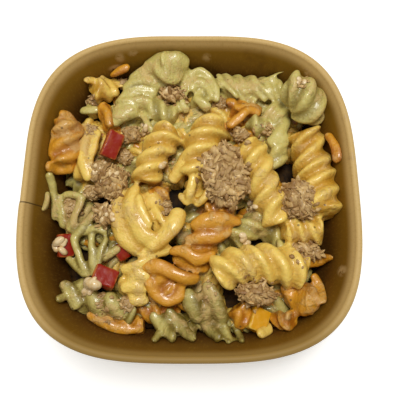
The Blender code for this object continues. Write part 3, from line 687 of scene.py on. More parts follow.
def make_twist_tree():
    """Paths become tubes with fins that turn along them.

    With a valley of 1 a tube is a plain strip. Its fins only mark the parts painted pale as light, and
    between them the parts painted darker as shade.
    """
    inputs = (
        ("Step Along", "Float"),
        ("Steps Round", "Int"),
        ("Fins", "Float"),
        ("Fin Start", "Float"),
        ("Valley", "Float"),
        ("Fin Fatness", "Float"),
        ("Fin Skew", "Float"),
        ("Flatness", "Float"),
        ("End Share", "Float"),
        ("End Length", "Float"),
        ("Waver", "Float"),
        ("Material", "Material"),
    )
    tree, keys = new_tree("turned_pasta", inputs)
    board = Board(tree)
    start = board.add("NodeGroupInput", {}, {}).outputs
    curves = board.add("GeometryNodeMeshToCurve", {}, {"Mesh": start["Geometry"]})
    values = {"Curve": curves.outputs[0], "Length": start["Step Along"]}
    even = board.add("GeometryNodeResampleCurve", {"mode": "LENGTH"}, values)
    upright = board.add("GeometryNodeSetCurveNormal", {"mode": "Z_UP"}, {"Curve": even.outputs[0]})

    along = Num(board, board.add("GeometryNodeSplineParameter", {}, {}).outputs["Length"])
    whole = Num(board, board.add("GeometryNodeSplineLength", {}, {}).outputs["Length"])
    place = board.add("GeometryNodeInputPosition", {}, {}).outputs[0]
    swing = (board.noise(place, TURN_SWING_WAVES, 1.0) - 0.5) * TURN_SWING
    tilt = point_value(board, "turn") + along / point_value(board, "lead") * (2 * math.pi) + swing
    tilted = board.add("GeometryNodeSetCurveTilt", {}, {"Curve": upright.outputs[0], "Tilt": tilt})

    profile_values = {"Resolution": start["Steps Round"], "Radius": 1.0}
    ring = board.add("GeometryNodeCurvePrimitiveCircle", {"mode": "RADIUS"}, profile_values)
    share = Num(board, board.add("GeometryNodeSplineParameter", {}, {}).outputs["Factor"])
    bearing = share * (2 * math.pi) * Num(board, start["Fins"])
    skewed = bearing + board.calc("SINE", bearing) * Num(board, start["Fin Skew"])
    crest = (skewed + Num(board, start["Fin Start"])).cosine() * 0.5 + 0.5
    valley = Num(board, start["Valley"])
    reach = valley + (1 - valley) * crest ** Num(board, start["Fin Fatness"])
    ring_place = board.add("GeometryNodeInputPosition", {}, {}).outputs[0]
    flat = board.add("ShaderNodeCombineXYZ", {}, {0: 1.0, 1: start["Flatness"], 2: 1.0}).outputs[0]
    lobed = board.stretched(board.scaled(ring_place, reach), flat)
    section = board.add(
        "GeometryNodeSetPosition", {}, {"Geometry": ring.outputs[0], "Position": lobed}
    )
    # The crest share is stored for the material, which paints light on the crests and shade in the
    # creases.
    stored = board.add(
        "GeometryNodeStoreNamedAttribute",
        {"data_type": "FLOAT", "domain": "POINT"},
        {"Geometry": section.outputs[0], "Name": "crest", "Value": crest},
    )

    near = (along.lowest(whole - along) / Num(board, start["End Length"])).lowest(1.0)
    end_share = Num(board, start["End Share"])
    taper = end_share + (1 - end_share) * (1 - (1 - near) * (1 - near)) ** 0.5
    swell = board.noise(place, SWELL_WAVES, 1.0) * 0.5 + 0.75
    scale = point_value(board, "half") * taper * swell
    values = {
        "Curve": tilted.outputs[0],
        "Profile Curve": stored.outputs[0],
        "Scale": scale,
        "Fill Caps": True,
    }
    tube = board.add("GeometryNodeCurveToMesh", {}, values).outputs[0]
    rough = wavered(board, tube, start["Waver"], WAVER_WAVES)
    closing(board, rough, start["Material"])
    return tree, keys


def make_strewn_tree():
    """A small form laid on each point, facing as the point's own values say."""
    inputs = (("Form", "Object"), ("Waver", "Float"), ("Material", "Material"))
    tree, keys = new_tree("strewn_forms", inputs)
    board = Board(tree)
    start = board.add("NodeGroupInput", {}, {}).outputs
    vector = {"data_type": "FLOAT_VECTOR"}
    read = "GeometryNodeInputNamedAttribute"
    facing = board.add(read, vector, {"Name": "facing"}).outputs[0]
    lean = board.add(read, vector, {"Name": "lean"}).outputs[0]
    sides = board.add(read, vector, {"Name": "sides"}).outputs[0]
    spun = board.add("FunctionNodeEulerToRotation", {}, {"Euler": lean}).outputs[0]
    values = {"Rotation": spun, "Vector": facing}
    aligned = board.add("FunctionNodeAlignRotationToVector", {"axis": "Z"}, values).outputs[0]
    form = board.add("GeometryNodeObjectInfo", {}, {"Object": start["Form"]}).outputs["Geometry"]
    values = {"Points": start["Geometry"], "Instance": form, "Rotation": aligned, "Scale": sides}
    laid = board.add("GeometryNodeInstanceOnPoints", {}, values).outputs[0]
    real = board.add("GeometryNodeRealizeInstances", {}, {"Geometry": laid}).outputs[0]
    rough = wavered(board, real, start["Waver"], CRUMB_WAVES)
    closing(board, rough, start["Material"])
    return tree, keys


def grown(name, mesh, tree, keys, values):
    """A plain object made from a mesh by a tree of Geometry Nodes."""
    source = linked(name, mesh)
    modifier = source.modifiers.new("Grow", "NODES")
    modifier.node_group = tree
    for label, value in values.items():
        modifier[keys[label]] = value
    bpy.context.view_layer.update()
    graph = bpy.context.evaluated_depsgraph_get()
    result = bpy.data.meshes.new_from_object(source.evaluated_get(graph))
    source.modifiers.clear()
    source.data = result
    result.name = name
    return source


# Where things lie.


def wall_half(height):
    """Half the bowl's width at this height, on the outer face of its wall."""
    top = BOWL_HEIGHT - CURL / 2
    top_half = RIM_HALF - CURL + BOARD / 2
    return FOOT_HALF + (top_half - FOOT_HALF) * height / top


def inside_half(height):
    return wall_half(height) - BOARD


def squared(direction_x, direction_y):
    """How far out the squared outline lies at this bearing, for a circle of radius 1."""
    reach = math.hypot(direction_x, direction_y)
    across = abs(direction_x / reach) ** SQUARENESS + abs(direction_y / reach) ** SQUARENESS
    return across ** (-1.0 / SQUARENESS)


def squared_reach(x, y, half):
    """1 on the squared outline of this half width, less inside it."""
    across = abs(x / half) ** SQUARENESS + abs(y / half) ** SQUARENESS
    return across ** (1.0 / SQUARENESS)


def dome(x, y):
    """The height of the salad's dome, in and out in millimetres."""
    reach = min(1.0, squared_reach(x, y, inside_half(DOME_EDGE * MM) / MM))
    return DOME_EDGE + (DOME_MIDDLE - DOME_EDGE) * (1.0 - reach**2)


def pulled_in(point, margin):
    """The point moved level towards the middle until it is this far inside the wall."""
    half = inside_half(point.z) - margin
    reach = squared_reach(point.x, point.y, half)
    if reach <= 1.0:
        return point
    return Vector((point.x / reach, point.y / reach, point.z))


def placed(place, margin, climb=0.0):
    """The point in metres of a place read on the level plane and lifted above the dome.

    Where the wall is in its way, the point climbs its line of sight by up to this much.
    """
    x, y, lift = place
    height = dome(x, y) + lift
    top = height + climb
    while True:
        along = (EYE.z - height) / (EYE.z - READING_HEIGHT)
        seen_x = EYE.x + (x - EYE.x) * along
        seen_y = EYE.y + (y - EYE.y) * along
        point = Vector((seen_x, seen_y, height)) * MM
        inside = squared_reach(point.x, point.y, inside_half(point.z) - margin) <= 1.0
        if inside or height >= top:
            return pulled_in(point, margin)
        height += CLIMB_STEP


def bend(places, share):
    """The point at this share of the way along a smooth run through its places."""
    if len(places) == 2:
        return places[0].lerp(places[1], share)
    if len(places) == 3:
        first = (1 - share) * (1 - 2 * share)
        middle = 4 * share * (1 - share)
        last = share * (2 * share - 1)
        return places[0] * first + places[1] * middle + places[2] * last
    spans = len(places) - 1
    span = min(int(share * spans), spans - 1)
    t = share * spans - span
    before = places[max(span - 1, 0)]
    a = places[span]
    b = places[span + 1]
    after = places[min(span + 2, spans)]
    pull_a = (b - before) * 0.5
    pull_b = (after - a) * 0.5
    return (
        a * (2 * t**3 - 3 * t**2 + 1)
        + pull_a * (t**3 - 2 * t**2 + t)
        + b * (3 * t**2 - 2 * t**3)
        + pull_b * (t**3 - t**2)
    )


def between(values, share):
    """The value at this share of the way along a row of values."""
    spans = len(values) - 1
    span = min(int(share * spans), spans - 1)
    return values[span] + (values[span + 1] - values[span]) * (share * spans - span)


def paths_mesh(name, runs):
    """A mesh of bare edges, one run for each twist or strip, with its values on its points."""
    points = []
    edges = []
    marks = {"half": [], "lead": [], "turn": [], "tone": []}
    chance = random.Random(len(runs))
    for half, lead, turn, places, *pale in runs:
        halves = half if isinstance(half, tuple) else (half, half)
        margin = WALL_MARGIN * max(halves) * MM
        spots = [placed(place, margin, CLIMB if place[2] >= 0 else 0.0) for place in places]
        length = sum((b - a).length for a, b in zip(spots, spots[1:]))
        count = max(3, round(length / PATH_STEP))
        first = len(points)
        points += [bend(spots, number / count) for number in range(count + 1)]
        edges += [(first + number, first + number + 1) for number in range(count)]
        tone = pale[0] if pale else chance.random()
        marks["half"] += [between(halves, number / count) * MM for number in range(count + 1)]
        marks["lead"] += [lead * MM] * (count + 1)
        marks["turn"] += [math.radians(turn)] * (count + 1)
        marks["tone"] += [tone] * (count + 1)
    mesh = bpy.data.meshes.new(name)
    mesh.from_pydata(points, edges, [])
    for label, values in marks.items():
        marked(mesh, label, values)
    return mesh


def keep_inside(mesh, gap):
    """Points that waver past the wall go back inside it."""
    for vertex in mesh.vertices:
        vertex.co = pulled_in(vertex.co, gap)


# Materials.


def new_material(name):
    """A material with its board and its shader, ready for nodes."""
    material = bpy.data.materials.new(name)
    material.use_nodes = True
    shader = material.node_tree.nodes["Principled BSDF"]
    board = Board(material.node_tree)
    place = board.add("ShaderNodeTexCoord", {}, {}).outputs["Object"]
    return material, board, shader, place


def join(board, shader, values):
    """Links or values for the shader's own sockets."""
    for name, value in values.items():
        if isinstance(value, Num):
            value = value.socket
        if isinstance(value, bpy.types.NodeSocket):
            board.tree.links.new(value, shader.inputs[name])
        else:
            shader.inputs[name].default_value = value


def mesh_value(board, name):
    node = board.add("ShaderNodeAttribute", {"attribute_name": name}, {})
    return Num(board, node.outputs["Fac"])


def upward(board):
    """1 where the surface faces up, 0 where it faces level or down."""
    normal = board.add("ShaderNodeNewGeometry", {}, {}).outputs["Normal"]
    parts = board.add("ShaderNodeSeparateXYZ", {}, {0: normal})
    return Num(board, parts.outputs[2]).highest(0.0)


def outward(board, place):
    """1 where the surface faces away from the bowl's middle, 0 where it faces towards it."""
    normal = board.add("ShaderNodeNewGeometry", {}, {}).outputs["Normal"]
    level = board.stretched(place, (1.0, 1.0, 0.0))
    settings = {"operation": "DOT_PRODUCT"}
    facing = board.add("ShaderNodeVectorMath", settings, {0: normal, 1: level})
    return Num(board, facing.outputs["Value"]).ramp(0.0, 0.01)


def bumped(board, height, strength, distance):
    values = {"Height": height, "Strength": strength, "Distance": distance}
    return board.add("ShaderNodeBump", {}, values).outputs[0]


def specks(board, place, scale, size):
    """Small scattered dots."""
    cells = board.add("ShaderNodeTexVoronoi", {}, {"Vector": place, "Scale": scale})
    pick = Num(board, board.add("ShaderNodeSeparateXYZ", {}, {0: cells.outputs["Color"]}).outputs[0])
    spot = 1 - Num(board, cells.outputs["Distance"]).ramp(size * 0.6, size)
    return spot * pick.ramp(0.9, 0.93)


def coated_spots():
    """The middle and radius, in metres, of each place that dressing coats."""
    spots = []
    for x, y, radius in COATED_PLACES:
        spots.append((placed((x, y, 8), 0.0), radius * MM))
    return spots


def pasta_material(name, lit_crest_colour, shaded_valley_colour, residue, far_light_lift):
    """Cooked pasta: crests painted pale as light, creases painted darker as shade, paler towards the
    far side as painted light, patches of dressing, specks and a wet gloss.
    """
    material, board, shader, place = new_material(name)
    # The crest share paints light on the fins' crests and shade in their creases.
    crest = mesh_value(board, "crest")
    tone = mesh_value(board, "tone")
    cloud = board.noise(place, 70.0, 3.0, 0.6)
    mottle = board.noise(place, 420.0, 3.0, 0.7)
    parts = board.add("ShaderNodeSeparateXYZ", {}, {0: place})
    # Painted light: the pasta is paler towards the far side of the bowl, by the far lift.
    far = Num(board, parts.outputs[1]).ramp(-RIM_HALF, RIM_HALF) * far_light_lift
    pale = crest * 0.55 + cloud * 0.8 + mottle * 0.4 + tone * 0.25 + far
    share = (pale - 0.4 - far_light_lift / 2).ramp(0.0, 1.0)
    body = board.mixed(share, shaded_valley_colour, lit_crest_colour)
    patch = board.noise(place, 48.0, 4.0, 0.65) + board.noise(place, 260.0, 3.0, 0.6) * 0.5
    near = patch + residue
    for middle, radius in coated_spots():
        away = board.length(board.shifted(place, middle)).ramp(radius * 0.4, radius)
        near = near + (1 - away) * 0.13
    coated = near.ramp(0.775, 0.95) * (0.45 + upward(board) * 0.55)
    dressed = board.mixed(coated * 0.65, body, RESIDUE)
    dots = specks(board, place, 230.0, 0.2)
    colour = board.mixed(dots * 0.7, dressed, SPECK)
    fine = mottle * 0.6 + board.noise(place, 190.0, 3.0, 0.55)
    grain = fine + coated * 0.5
    values = {
        "Base Color": colour,
        "Roughness": 0.38 + coated * 0.2 + mottle * 0.1,
        "Coat Weight": (1 - coated * 0.6) * mottle.ramp(0.35, 0.6) * 0.7,
        "Coat Roughness": 0.15,
        "Subsurface Weight": 0.12,
        "Subsurface Radius": (1.0, 0.55, 0.2),
        "Subsurface Scale": 1.6 * MM,
        "Normal": bumped(board, grain, 0.9, MM),
    }
    join(board, shader, values)
    return material


MOIST_FISH = {
    "Coat Roughness": 0.22,
    "Subsurface Weight": 0.08,
    "Subsurface Radius": (1.0, 0.6, 0.4),
    "Subsurface Scale": 1.2 * MM,
}


def tuna_material():
    """Flaked fish: pale and darker fibres side by side, moist and hardly glossy."""
    material, board, shader, place = new_material("flaked_tuna")
    fibre = board.noise(board.stretched(place, (1.0, 0.3, 1.0)), 900.0, 3.0, 0.6)
    cloud = board.noise(place, 130.0, 3.0, 0.6)
    tone = mesh_value(board, "tone")
    share = (fibre * 0.9 + cloud * 0.6 + tone * 0.6 - 0.55).ramp(0.0, 1.0)
    colour = board.mixed(share, TUNA_DARK, TUNA_PALE)
    values = {
        "Base Color": colour,
        "Roughness": 0.45 + cloud * 0.25,
        "Coat Weight": cloud.ramp(0.45, 0.6) * 0.4,
        **MOIST_FISH,
        "Normal": bumped(board, fibre + cloud * 0.6, 0.8, 0.5 * MM),
    }
    join(board, shader, values)
    return material


def mix_material():
    """Fish and dressing worked together: creamy, mottled and moist."""
    material, board, shader, place = new_material("creamy_mix")
    cloud = board.noise(place, 190.0, 4.0, 0.65)
    tone = mesh_value(board, "tone")
    colour = board.mixed((cloud * 1.4 + tone * 0.4 - 0.5).ramp(0.0, 1.0), MIX_DARK, MIX_PALE)
    values = {
        "Base Color": colour,
        "Roughness": 0.42 + cloud * 0.25,
        "Coat Weight": cloud * 0.5,
        **MOIST_FISH,
        "Normal": bumped(board, cloud, 0.8, 0.8 * MM),
    }
    join(board, shader, values)
    return material


def dressing_material():
    """Creamy dressing with fish in it."""
    material, board, shader, place = new_material("creamy_dressing")
    cloud = board.noise(place, 420.0, 3.0, 0.6)
    colour = board.mixed(cloud.ramp(0.35, 0.7), DRESSING, TUNA_PALE)
    values = {
        "Base Color": colour,
        "Roughness": 0.3 + cloud * 0.2,
        "Coat Weight": cloud * 0.8,
        "Coat Roughness": 0.15,
        "Normal": bumped(board, cloud, 0.5, 0.4 * MM),
    }
    join(board, shader, values)
    return material


def pepper_material(name, skin, flesh):
    """Diced pepper: taut coloured skin and paler flesh on the cut faces. The paler colour along the
    edges is partly flesh at the cuts and partly a painted highlight.
    """
    material, board, shader, place = new_material(name)
    cloud = board.noise(place, 240.0, 3.0, 0.6)
    edge = mesh_value(board, "edge")
    cut = mesh_value(board, "cut")
    face = board.mixed(cloud.ramp(0.45, 0.8) * 0.25, skin, flesh)
    # Paler along the edges, partly flesh at the cuts and partly a painted highlight on the rounded
    # edges; paler on the cut faces for their flesh.
    pale = (edge * cloud.ramp(0.3, 0.6) + cut * 0.12).ramp(0.1, 1.1)
    values = {
        "Base Color": board.mixed(pale, face, flesh),
        "Roughness": 0.36 + cloud * 0.2,
        "Specular IOR Level": 0.25,
        "Coat Weight": 0.15 - cut * 0.1,
        "Coat Roughness": 0.15,
        "Normal": bumped(board, cloud, 0.7, 0.8 * MM),
    }
    join(board, shader, values)
    return material


def shade_core_material():
    """The wet mix deep between the twists, coloured near black as painted shade for the deep gaps."""
    material, board, shader, place = new_material("salad_core")
    cloud = board.noise(place, 160.0, 4.0, 0.6)
    colour = board.mixed(cloud.ramp(0.35, 0.7), CORE_SHADE_DARK, CORE_SHADE_PALE)
    values = {
        "Base Color": colour,
        "Roughness": 0.55 + cloud * 0.3,
        "Specular IOR Level": 0.15,
        "Normal": bumped(board, cloud, 0.8, 1.5 * MM),
    }
    join(board, shader, values)
    return material


def smear_mask(board, place, middle, across):
    """A soft patch on the wall about a place, with these half sizes."""
    away = board.stretched(board.shifted(place, middle), tuple(1 / size for size in across))
    return 1 - board.length(away).ramp(0.35, 1.0)


def board_material():
    """Brown paper board: a pale rolled rim, a darker lined wall, fibres, flecks and smears, with
    painted light and shade: lighter far and at the rim's sides, darker near, darker low on the wall,
    and a painted shadow along the lap's edge.
    """
    material, board, shader, place = new_material("kraft_board")
    parts = board.add("ShaderNodeSeparateXYZ", {}, {0: place})
    height = Num(board, parts.outputs[2])
    fibre = board.noise(board.stretched(place, (1.0, 1.0, 0.25)), 1100.0, 3.0, 0.65)
    cloud = board.noise(place, 38.0, 4.0, 0.6)
    rim = height.ramp(51.0 * MM, 58.0 * MM)
    # Painted shade: the inside wall darkens towards its foot.
    lit = height.ramp(30 * MM, 56 * MM)
    # Painted light and shade: lighter towards the far side, the rim also at the left and right sides,
    # and darker towards the near side.
    far = Num(board, parts.outputs[1]).ramp(-RIM_HALF, RIM_HALF)
    low = board.mixed(lit, BOARD_LOW_SHADE, board.mixed(far, BOARD_WALL_SHADED_NEAR, BOARD_WALL_LIT_FAR))
    side = Num(board, parts.outputs[0]).size().ramp(0.6 * RIM_HALF, RIM_HALF)
    rolled = board.mixed(far.highest(side), BOARD_RIM_SHADED_NEAR, BOARD_RIM_LIT_FAR)
    outside = outward(board, place)
    body = board.mixed(rim, board.mixed(outside, low, BOARD_OUTSIDE), rolled)
    threads = board.mixed((fibre.ramp(0.5, 0.72)) * 0.28, body, BOARD_FIBRE)
    oiled = cloud.ramp(0.52, 0.66) * (1 - rim) * (1 - outside)
    soaked = board.mixed(oiled * 0.35, threads, BOARD_OIL)
    rough = board.noise(place, 330.0, 3.0, 0.6)
    smears = smear_mask(board, place, *WALL_SMEARS[0])
    for middle, across in WALL_SMEARS[1:]:
        smears = smears.highest(smear_mask(board, place, middle, across))
    smears = smears * rough.ramp(0.34, 0.56) * (1 - outside)
    smeared = board.mixed(smears * 0.9, soaked, SMEAR)
    # Painted shadow: a thin dark line along the lap's edge, on the left side of the bowl.
    across = Num(board, parts.outputs[1]) + (SEAM_AT + height * SEAM_LEAN)
    lap = (1 - across.size().ramp(0.12 * MM, 0.4 * MM)) * (Num(board, parts.outputs[0]) * -30)
    colour = board.mixed(lap.lowest(0.75).highest(0.0), smeared, BOARD_SHADE)
    values = {
        "Base Color": colour,
        "Roughness": 0.55 + fibre * 0.2 - rim * 0.08,
        "Specular IOR Level": 0.28,
        "Coat Weight": smears * 0.4,
        "Coat Roughness": 0.3,
        "Normal": bumped(board, fibre * 0.6 + rough * 0.4 + smears * 1.5, 0.35, 0.25 * MM),
    }
    join(board, shader, values)
    return material


# The bowl.


def seam_lift(bearing):
    """How far the lap of the board stands in from the wall at this bearing."""
    past = (bearing - SEAM_BEARING) % (2 * math.pi)
    back = (2 * math.pi - past) % (2 * math.pi)
    if back < SEAM_FADE:
        return SEAM_STEP * (1 - back / SEAM_FADE) ** SEAM_EASE
    return 0.0


def turned_ring(name, profile, closed, waver):
    """A profile of (radius, height) points turned about the upright and squared off."""
    count = len(profile)
    points = []
    faces = []
    for step in range(BOWL_STEPS):
        bearing = 2 * math.pi * step / BOWL_STEPS
        direction = Vector((math.cos(bearing), math.sin(bearing), 0.0))
        out = squared(direction.x, direction.y)
        for radius, height in profile:
            point = direction * radius * out
            if waver and radius > 0.0:
                swing = noise.noise(Vector((point.x, point.y, height * 0.4)) * WALL_WAVES)
                inward = WALL_WAVER * (swing + 0.6) + seam_lift(bearing)
                point -= direction * min(inward, MOST_INWARD)
            points.append((point.x, point.y, height))
    spans = count if closed else count - 1
    for step in range(BOWL_STEPS):
        after = (step + 1) % BOWL_STEPS
        for number in range(spans):
            upper = number
            lower = (number + 1) % count
            faces.append(
                (
                    step * count + upper,
                    step * count + lower,
                    after * count + lower,
                    after * count + upper,
                )
            )
    mesh = bpy.data.meshes.new(name)
    mesh.from_pydata(points, [], faces)
    form = bmesh.new()
    form.from_mesh(mesh)
    bmesh.ops.remove_doubles(form, verts=form.verts, dist=WELD)
    bmesh.ops.recalc_face_normals(form, faces=form.faces)
    form.to_mesh(mesh)
    form.free()
    mesh.shade_smooth()
    mesh.set_sharp_from_angle(angle=SHARP_FROM)
    return linked(name, mesh)


def make_bowl():
    """The wall with its rolled rim and turned-in hem, and the floor whose skirt the hem holds."""
    curl_middle = BOWL_HEIGHT - CURL / 2
    curl_centre = RIM_HALF - CURL / 2
    under_rim = BOWL_HEIGHT - 1.3 * CURL
    profile = []
    for degrees in range(180, -131, -15):
        angle = math.radians(degrees)
        radius = curl_centre + CURL / 2 * math.cos(angle)
        profile.append((radius, curl_middle + CURL / 2 * math.sin(angle)))
    for step in range(WALL_STEPS + 1):
        height = under_rim * (1 - step / WALL_STEPS)
        profile.append((wall_half(height), height))
    profile.append((wall_half(0.0) - 2 * BOARD, 0.0))
    profile.append((wall_half(HEM_DEPTH) - 2 * BOARD, HEM_DEPTH))
    for step in range(WALL_STEPS + 1):
        height = HEM_DEPTH + BOARD / 4 + (curl_middle - CURL / 3 - HEM_DEPTH) * step / WALL_STEPS
        profile.append((inside_half(height), height))
    wall = turned_ring("board_wall", profile, True, True)

    skirt_out = wall_half(SKIRT_BOTTOM) - 2 * BOARD - FIT_GAP - BASE_GAP
    floor_out = wall_half(HEM_DEPTH) - 2 * BOARD - FIT_GAP - BASE_GAP
    floor = (
        (0.0, FLOOR_HEIGHT),
        (floor_out - 2 * BOARD, FLOOR_HEIGHT),
        (floor_out, FLOOR_HEIGHT - BOARD),
        (skirt_out, SKIRT_BOTTOM),
        (skirt_out - BOARD, SKIRT_BOTTOM),
        (floor_out - 2 * BOARD, FLOOR_HEIGHT - 1.5 * BOARD),
        (0.0, FLOOR_HEIGHT - BOARD),
    )
    base = turned_ring("board_floor", floor, False, False)
    return wall, base


# The food.


def thickened(mesh, growth):
    """The mesh with each vertex moved along its normal by the growth."""
    places = np.zeros(len(mesh.vertices) * 3, np.float32)
    normals = np.zeros(len(mesh.vertices) * 3, np.float32)
    mesh.vertices.foreach_get("co", places)
    mesh.vertex_normals.foreach_get("vector", normals)
    mesh.vertices.foreach_set("co", places + normals * growth)
    mesh.update()


def blended(name, parts, material):
    """The parts grown together as one skin, whose creases are rounded as dressing rounds them."""
    form = bmesh.new()
    for part in parts:
        thickened(part.data, BLEND_FAT)
        form.from_mesh(part.data)
        bpy.data.objects.remove(part)
    crest_layer = form.verts.layers.float["crest"]
    tone_layer = form.verts.layers.float["tone"]
    crests = [vertex[crest_layer] for vertex in form.verts]
    tones = [vertex[tone_layer] for vertex in form.verts]
    tree = KDTree(len(form.verts))
    for number, vertex in enumerate(form.verts):
        tree.insert(vertex.co, number)
    tree.balance()
    piece = linked(name, freed(name, form))
    remesh = piece.modifiers.new("Blend", "REMESH")
    remesh.mode = "VOXEL"
    remesh.voxel_size = BLEND_GRAIN
    smooth = piece.modifiers.new("Soften", "SMOOTH")
    smooth.factor = BLEND_SOFTNESS
    smooth.iterations = BLEND_STEPS
    bpy.context.view_layer.update()
    graph = bpy.context.evaluated_depsgraph_get()
    mesh = bpy.data.meshes.new_from_object(piece.evaluated_get(graph))
    piece.modifiers.clear()
    piece.data = mesh
    nearest = [tree.find(vertex.co)[1] for vertex in mesh.vertices]
    for label, values in (("crest", crests), ("tone", tones)):
        marked(mesh, label, [values[number] for number in nearest])
    thickened(mesh, -BLEND_FAT)
    mesh.materials.clear()
    mesh.materials.append(material)
    mesh.shade_smooth()
    return piece


def make_core():
    """The mix that fills the bowl under the pasta that shows, coloured near black as painted shade."""
    rings = CORE_RINGS
    count = CORE_STEPS
    edge = DOME_EDGE - CORE_DEPTH
    points = []
    faces = []
    bottom = FLOOR_HEIGHT + FIT_GAP
    for ring in range(1, rings + 1):
        share = ring / rings
        for step in range(count):
            bearing = 2 * math.pi * step / count
            direction = Vector((math.cos(bearing), math.sin(bearing), 0.0))
            half = inside_half(edge * MM) - CORE_SIDE_GAP
            point = direction * half * share * squared(direction.x, direction.y)
            level = (dome(point.x / MM, point.y / MM) - CORE_DEPTH) * MM
            level += CORE_BUMP * noise.noise(point / CORE_BUMP_SIZE) * min(1.0, 4 * (1 - share))
            points.append((point.x, point.y, level))
    top_middle = len(points)
    points.append((0.0, 0.0, (dome(0.0, 0.0) - CORE_DEPTH) * MM))
    low_ring = len(points)
    for step in range(count):
        bearing = 2 * math.pi * step / count
        direction = Vector((math.cos(bearing), math.sin(bearing), 0.0))
        point = direction * (inside_half(bottom) - CORE_SIDE_GAP)
        point *= squared(direction.x, direction.y)
        points.append((point.x, point.y, bottom))
    low_middle = len(points)
    points.append((0.0, 0.0, bottom))
    for step in range(count):
        after = (step + 1) % count
        faces.append((top_middle, step, after))
        for ring in range(rings - 1):
            inner = ring * count
            outer = inner + count
            faces.append((inner + step, outer + step, outer + after, inner + after))
        last = (rings - 1) * count
        faces.append((last + step, low_ring + step, low_ring + after, last + after))
        faces.append((low_ring + step, low_middle, low_ring + after))
    mesh = bpy.data.meshes.new("salad_core")
    mesh.from_pydata(points, [], faces)
    mesh.shade_smooth()
    mesh.materials.append(shade_core_material())
    return linked("salad_core", mesh)


def clear_of_gaps(half, places):
    """Whether a twist between two places keeps out of every deep gap."""
    for x, y, radius in DEEP_GAPS:
        for share in (0.0, 0.25, 0.5, 0.75, 1.0):
            spot = Vector(places[0][:2]).lerp(Vector(places[1][:2]), share)
            if (spot - Vector((x, y))).length < half + radius:
                return False
    return True


def under_twists():
    """Twists of the three colours that fill the salad under those that show."""
    chance = random.Random(UNDER_SEED)
    runs = {colour: [] for colour in UNDER_COLOURS}
    reach = inside_half(DOME_EDGE * MM) / MM
    while sum(len(part) for part in runs.values()) < UNDER_COUNT:
        x = chance.uniform(*UNDER_ACROSS)
        y = chance.uniform(*UNDER_UP)
        heading = chance.uniform(0.0, math.pi)
        length = chance.uniform(*UNDER_LENGTHS)
        half = chance.uniform(*UNDER_HALVES)
        lift = chance.uniform(*UNDER_LIFTS)
        turn = chance.uniform(0.0, 360.0)
        kind = chance.choices(UNDER_COLOURS, UNDER_SHARES)[0]
        across = length / 2 * math.cos(heading)
        up = length / 2 * math.sin(heading)
        places = ((x - across, y - up, lift), (x + across, y + up, lift - 1.0))
        far = max(squared_reach(px, py, reach) for px, py, _ in places)
        if far < UNDER_REACH and clear_of_gaps(half, places):
            runs[kind].append((half, UNDER_LEAD, turn, places))
    return runs


def make_pasta():
    """The twists and the strips, one piece of each for each colour."""
    tree, keys = make_twist_tree()
    under = under_twists()
    kinds = (
        # The last value of each row is how much paler that pasta is painted towards the far side, as
        # painted light.
        ("yellow", YELLOW_TWISTS, YELLOW_STRIPS, YELLOW_CREST_LIT, YELLOW_VALLEY_SHADED, 0.01, 0.0),
        ("green", GREEN_TWISTS, GREEN_STRIPS, GREEN_CREST_LIT, GREEN_VALLEY_SHADED, 0.03, 0.5),
        ("orange", ORANGE_TWISTS, ORANGE_STRIPS, ORANGE_CREST_LIT, ORANGE_VALLEY_SHADED, 0.03, 0.0),
    )
    pieces = []
    for colour, twists, strips, *looks in kinds:
        material = pasta_material(f"{colour}_pasta", *looks)
        twist_values = {
            "Step Along": STEP_ALONG,
            "Steps Round": STEPS_ROUND,
            "Fins": float(FIN_COUNT),
            "Fin Start": 0.0,
            "Valley": VALLEY,
            "Fin Fatness": FIN_FATNESS,
            "Fin Skew": FIN_SKEW,
            "Flatness": 1.0,
            "End Share": END_SHARE,
            "End Length": END_LENGTH,
            "Waver": WAVER,
            "Material": material,
        }
        mesh = paths_mesh(f"{colour}_paths", list(twists))
        bodies = grown(f"{colour}_twists", mesh, tree, keys, twist_values)
        coarser = {"Steps Round": UNDER_STEPS_ROUND, "Step Along": UNDER_STEP_ALONG}
        mesh = paths_mesh(f"{colour}_under_paths", under[colour])
        lower = grown(f"fusilli_{colour}_under", mesh, tree, keys, {**twist_values, **coarser})
        pieces.append(lower)
        runs = [(half, STRIP_LEAD, 0, *rest) for half, *rest in strips]
        mesh = paths_mesh(f"{colour}_strip_paths", runs)
        bands = grown(f"{colour}_strips", mesh, tree, keys, {**twist_values, **STRIP_VALUES})
        pieces.append(blended(f"fusilli_{colour}", (bodies, bands), material))
    for piece in pieces:
        keep_inside(piece.data, WALL_GAP)
    return pieces


def make_lump(name, place, sides, turn, fineness, seed):
    """One lump of tuna, as in the solids but finer and a little smaller, under its flakes."""
    form = bmesh.new()
    bmesh.ops.create_icosphere(form, subdivisions=fineness, radius=1.0)
    middle = placed(place, max(sides[:2]) * MM / 2)
    spin = Euler((0.0, 0.0, math.radians(turn))).to_matrix()
    for vertex in form.verts:
        direction = vertex.co.normalized()
        crag = noise.noise(direction * 1.7 + Vector((seed, 0.0, 0.0)))
        crag += 0.5 * noise.noise(direction * 4.1 + Vector((0.0, seed, 0.0)))
        crag += 0.35 * noise.noise(Vector((direction.x * 16, direction.y * 6, direction.z * 14 + seed)))
        reach = LUMP_SHRINK * (1.0 + LUMP_ROUGHNESS * crag)
        local = Vector(side * MM / 2 * reach * part for side, part in zip(sides, direction))
        vertex.co = middle + spin @ local
    mesh = freed(name, form)
    mesh.shade_smooth()
    return mesh


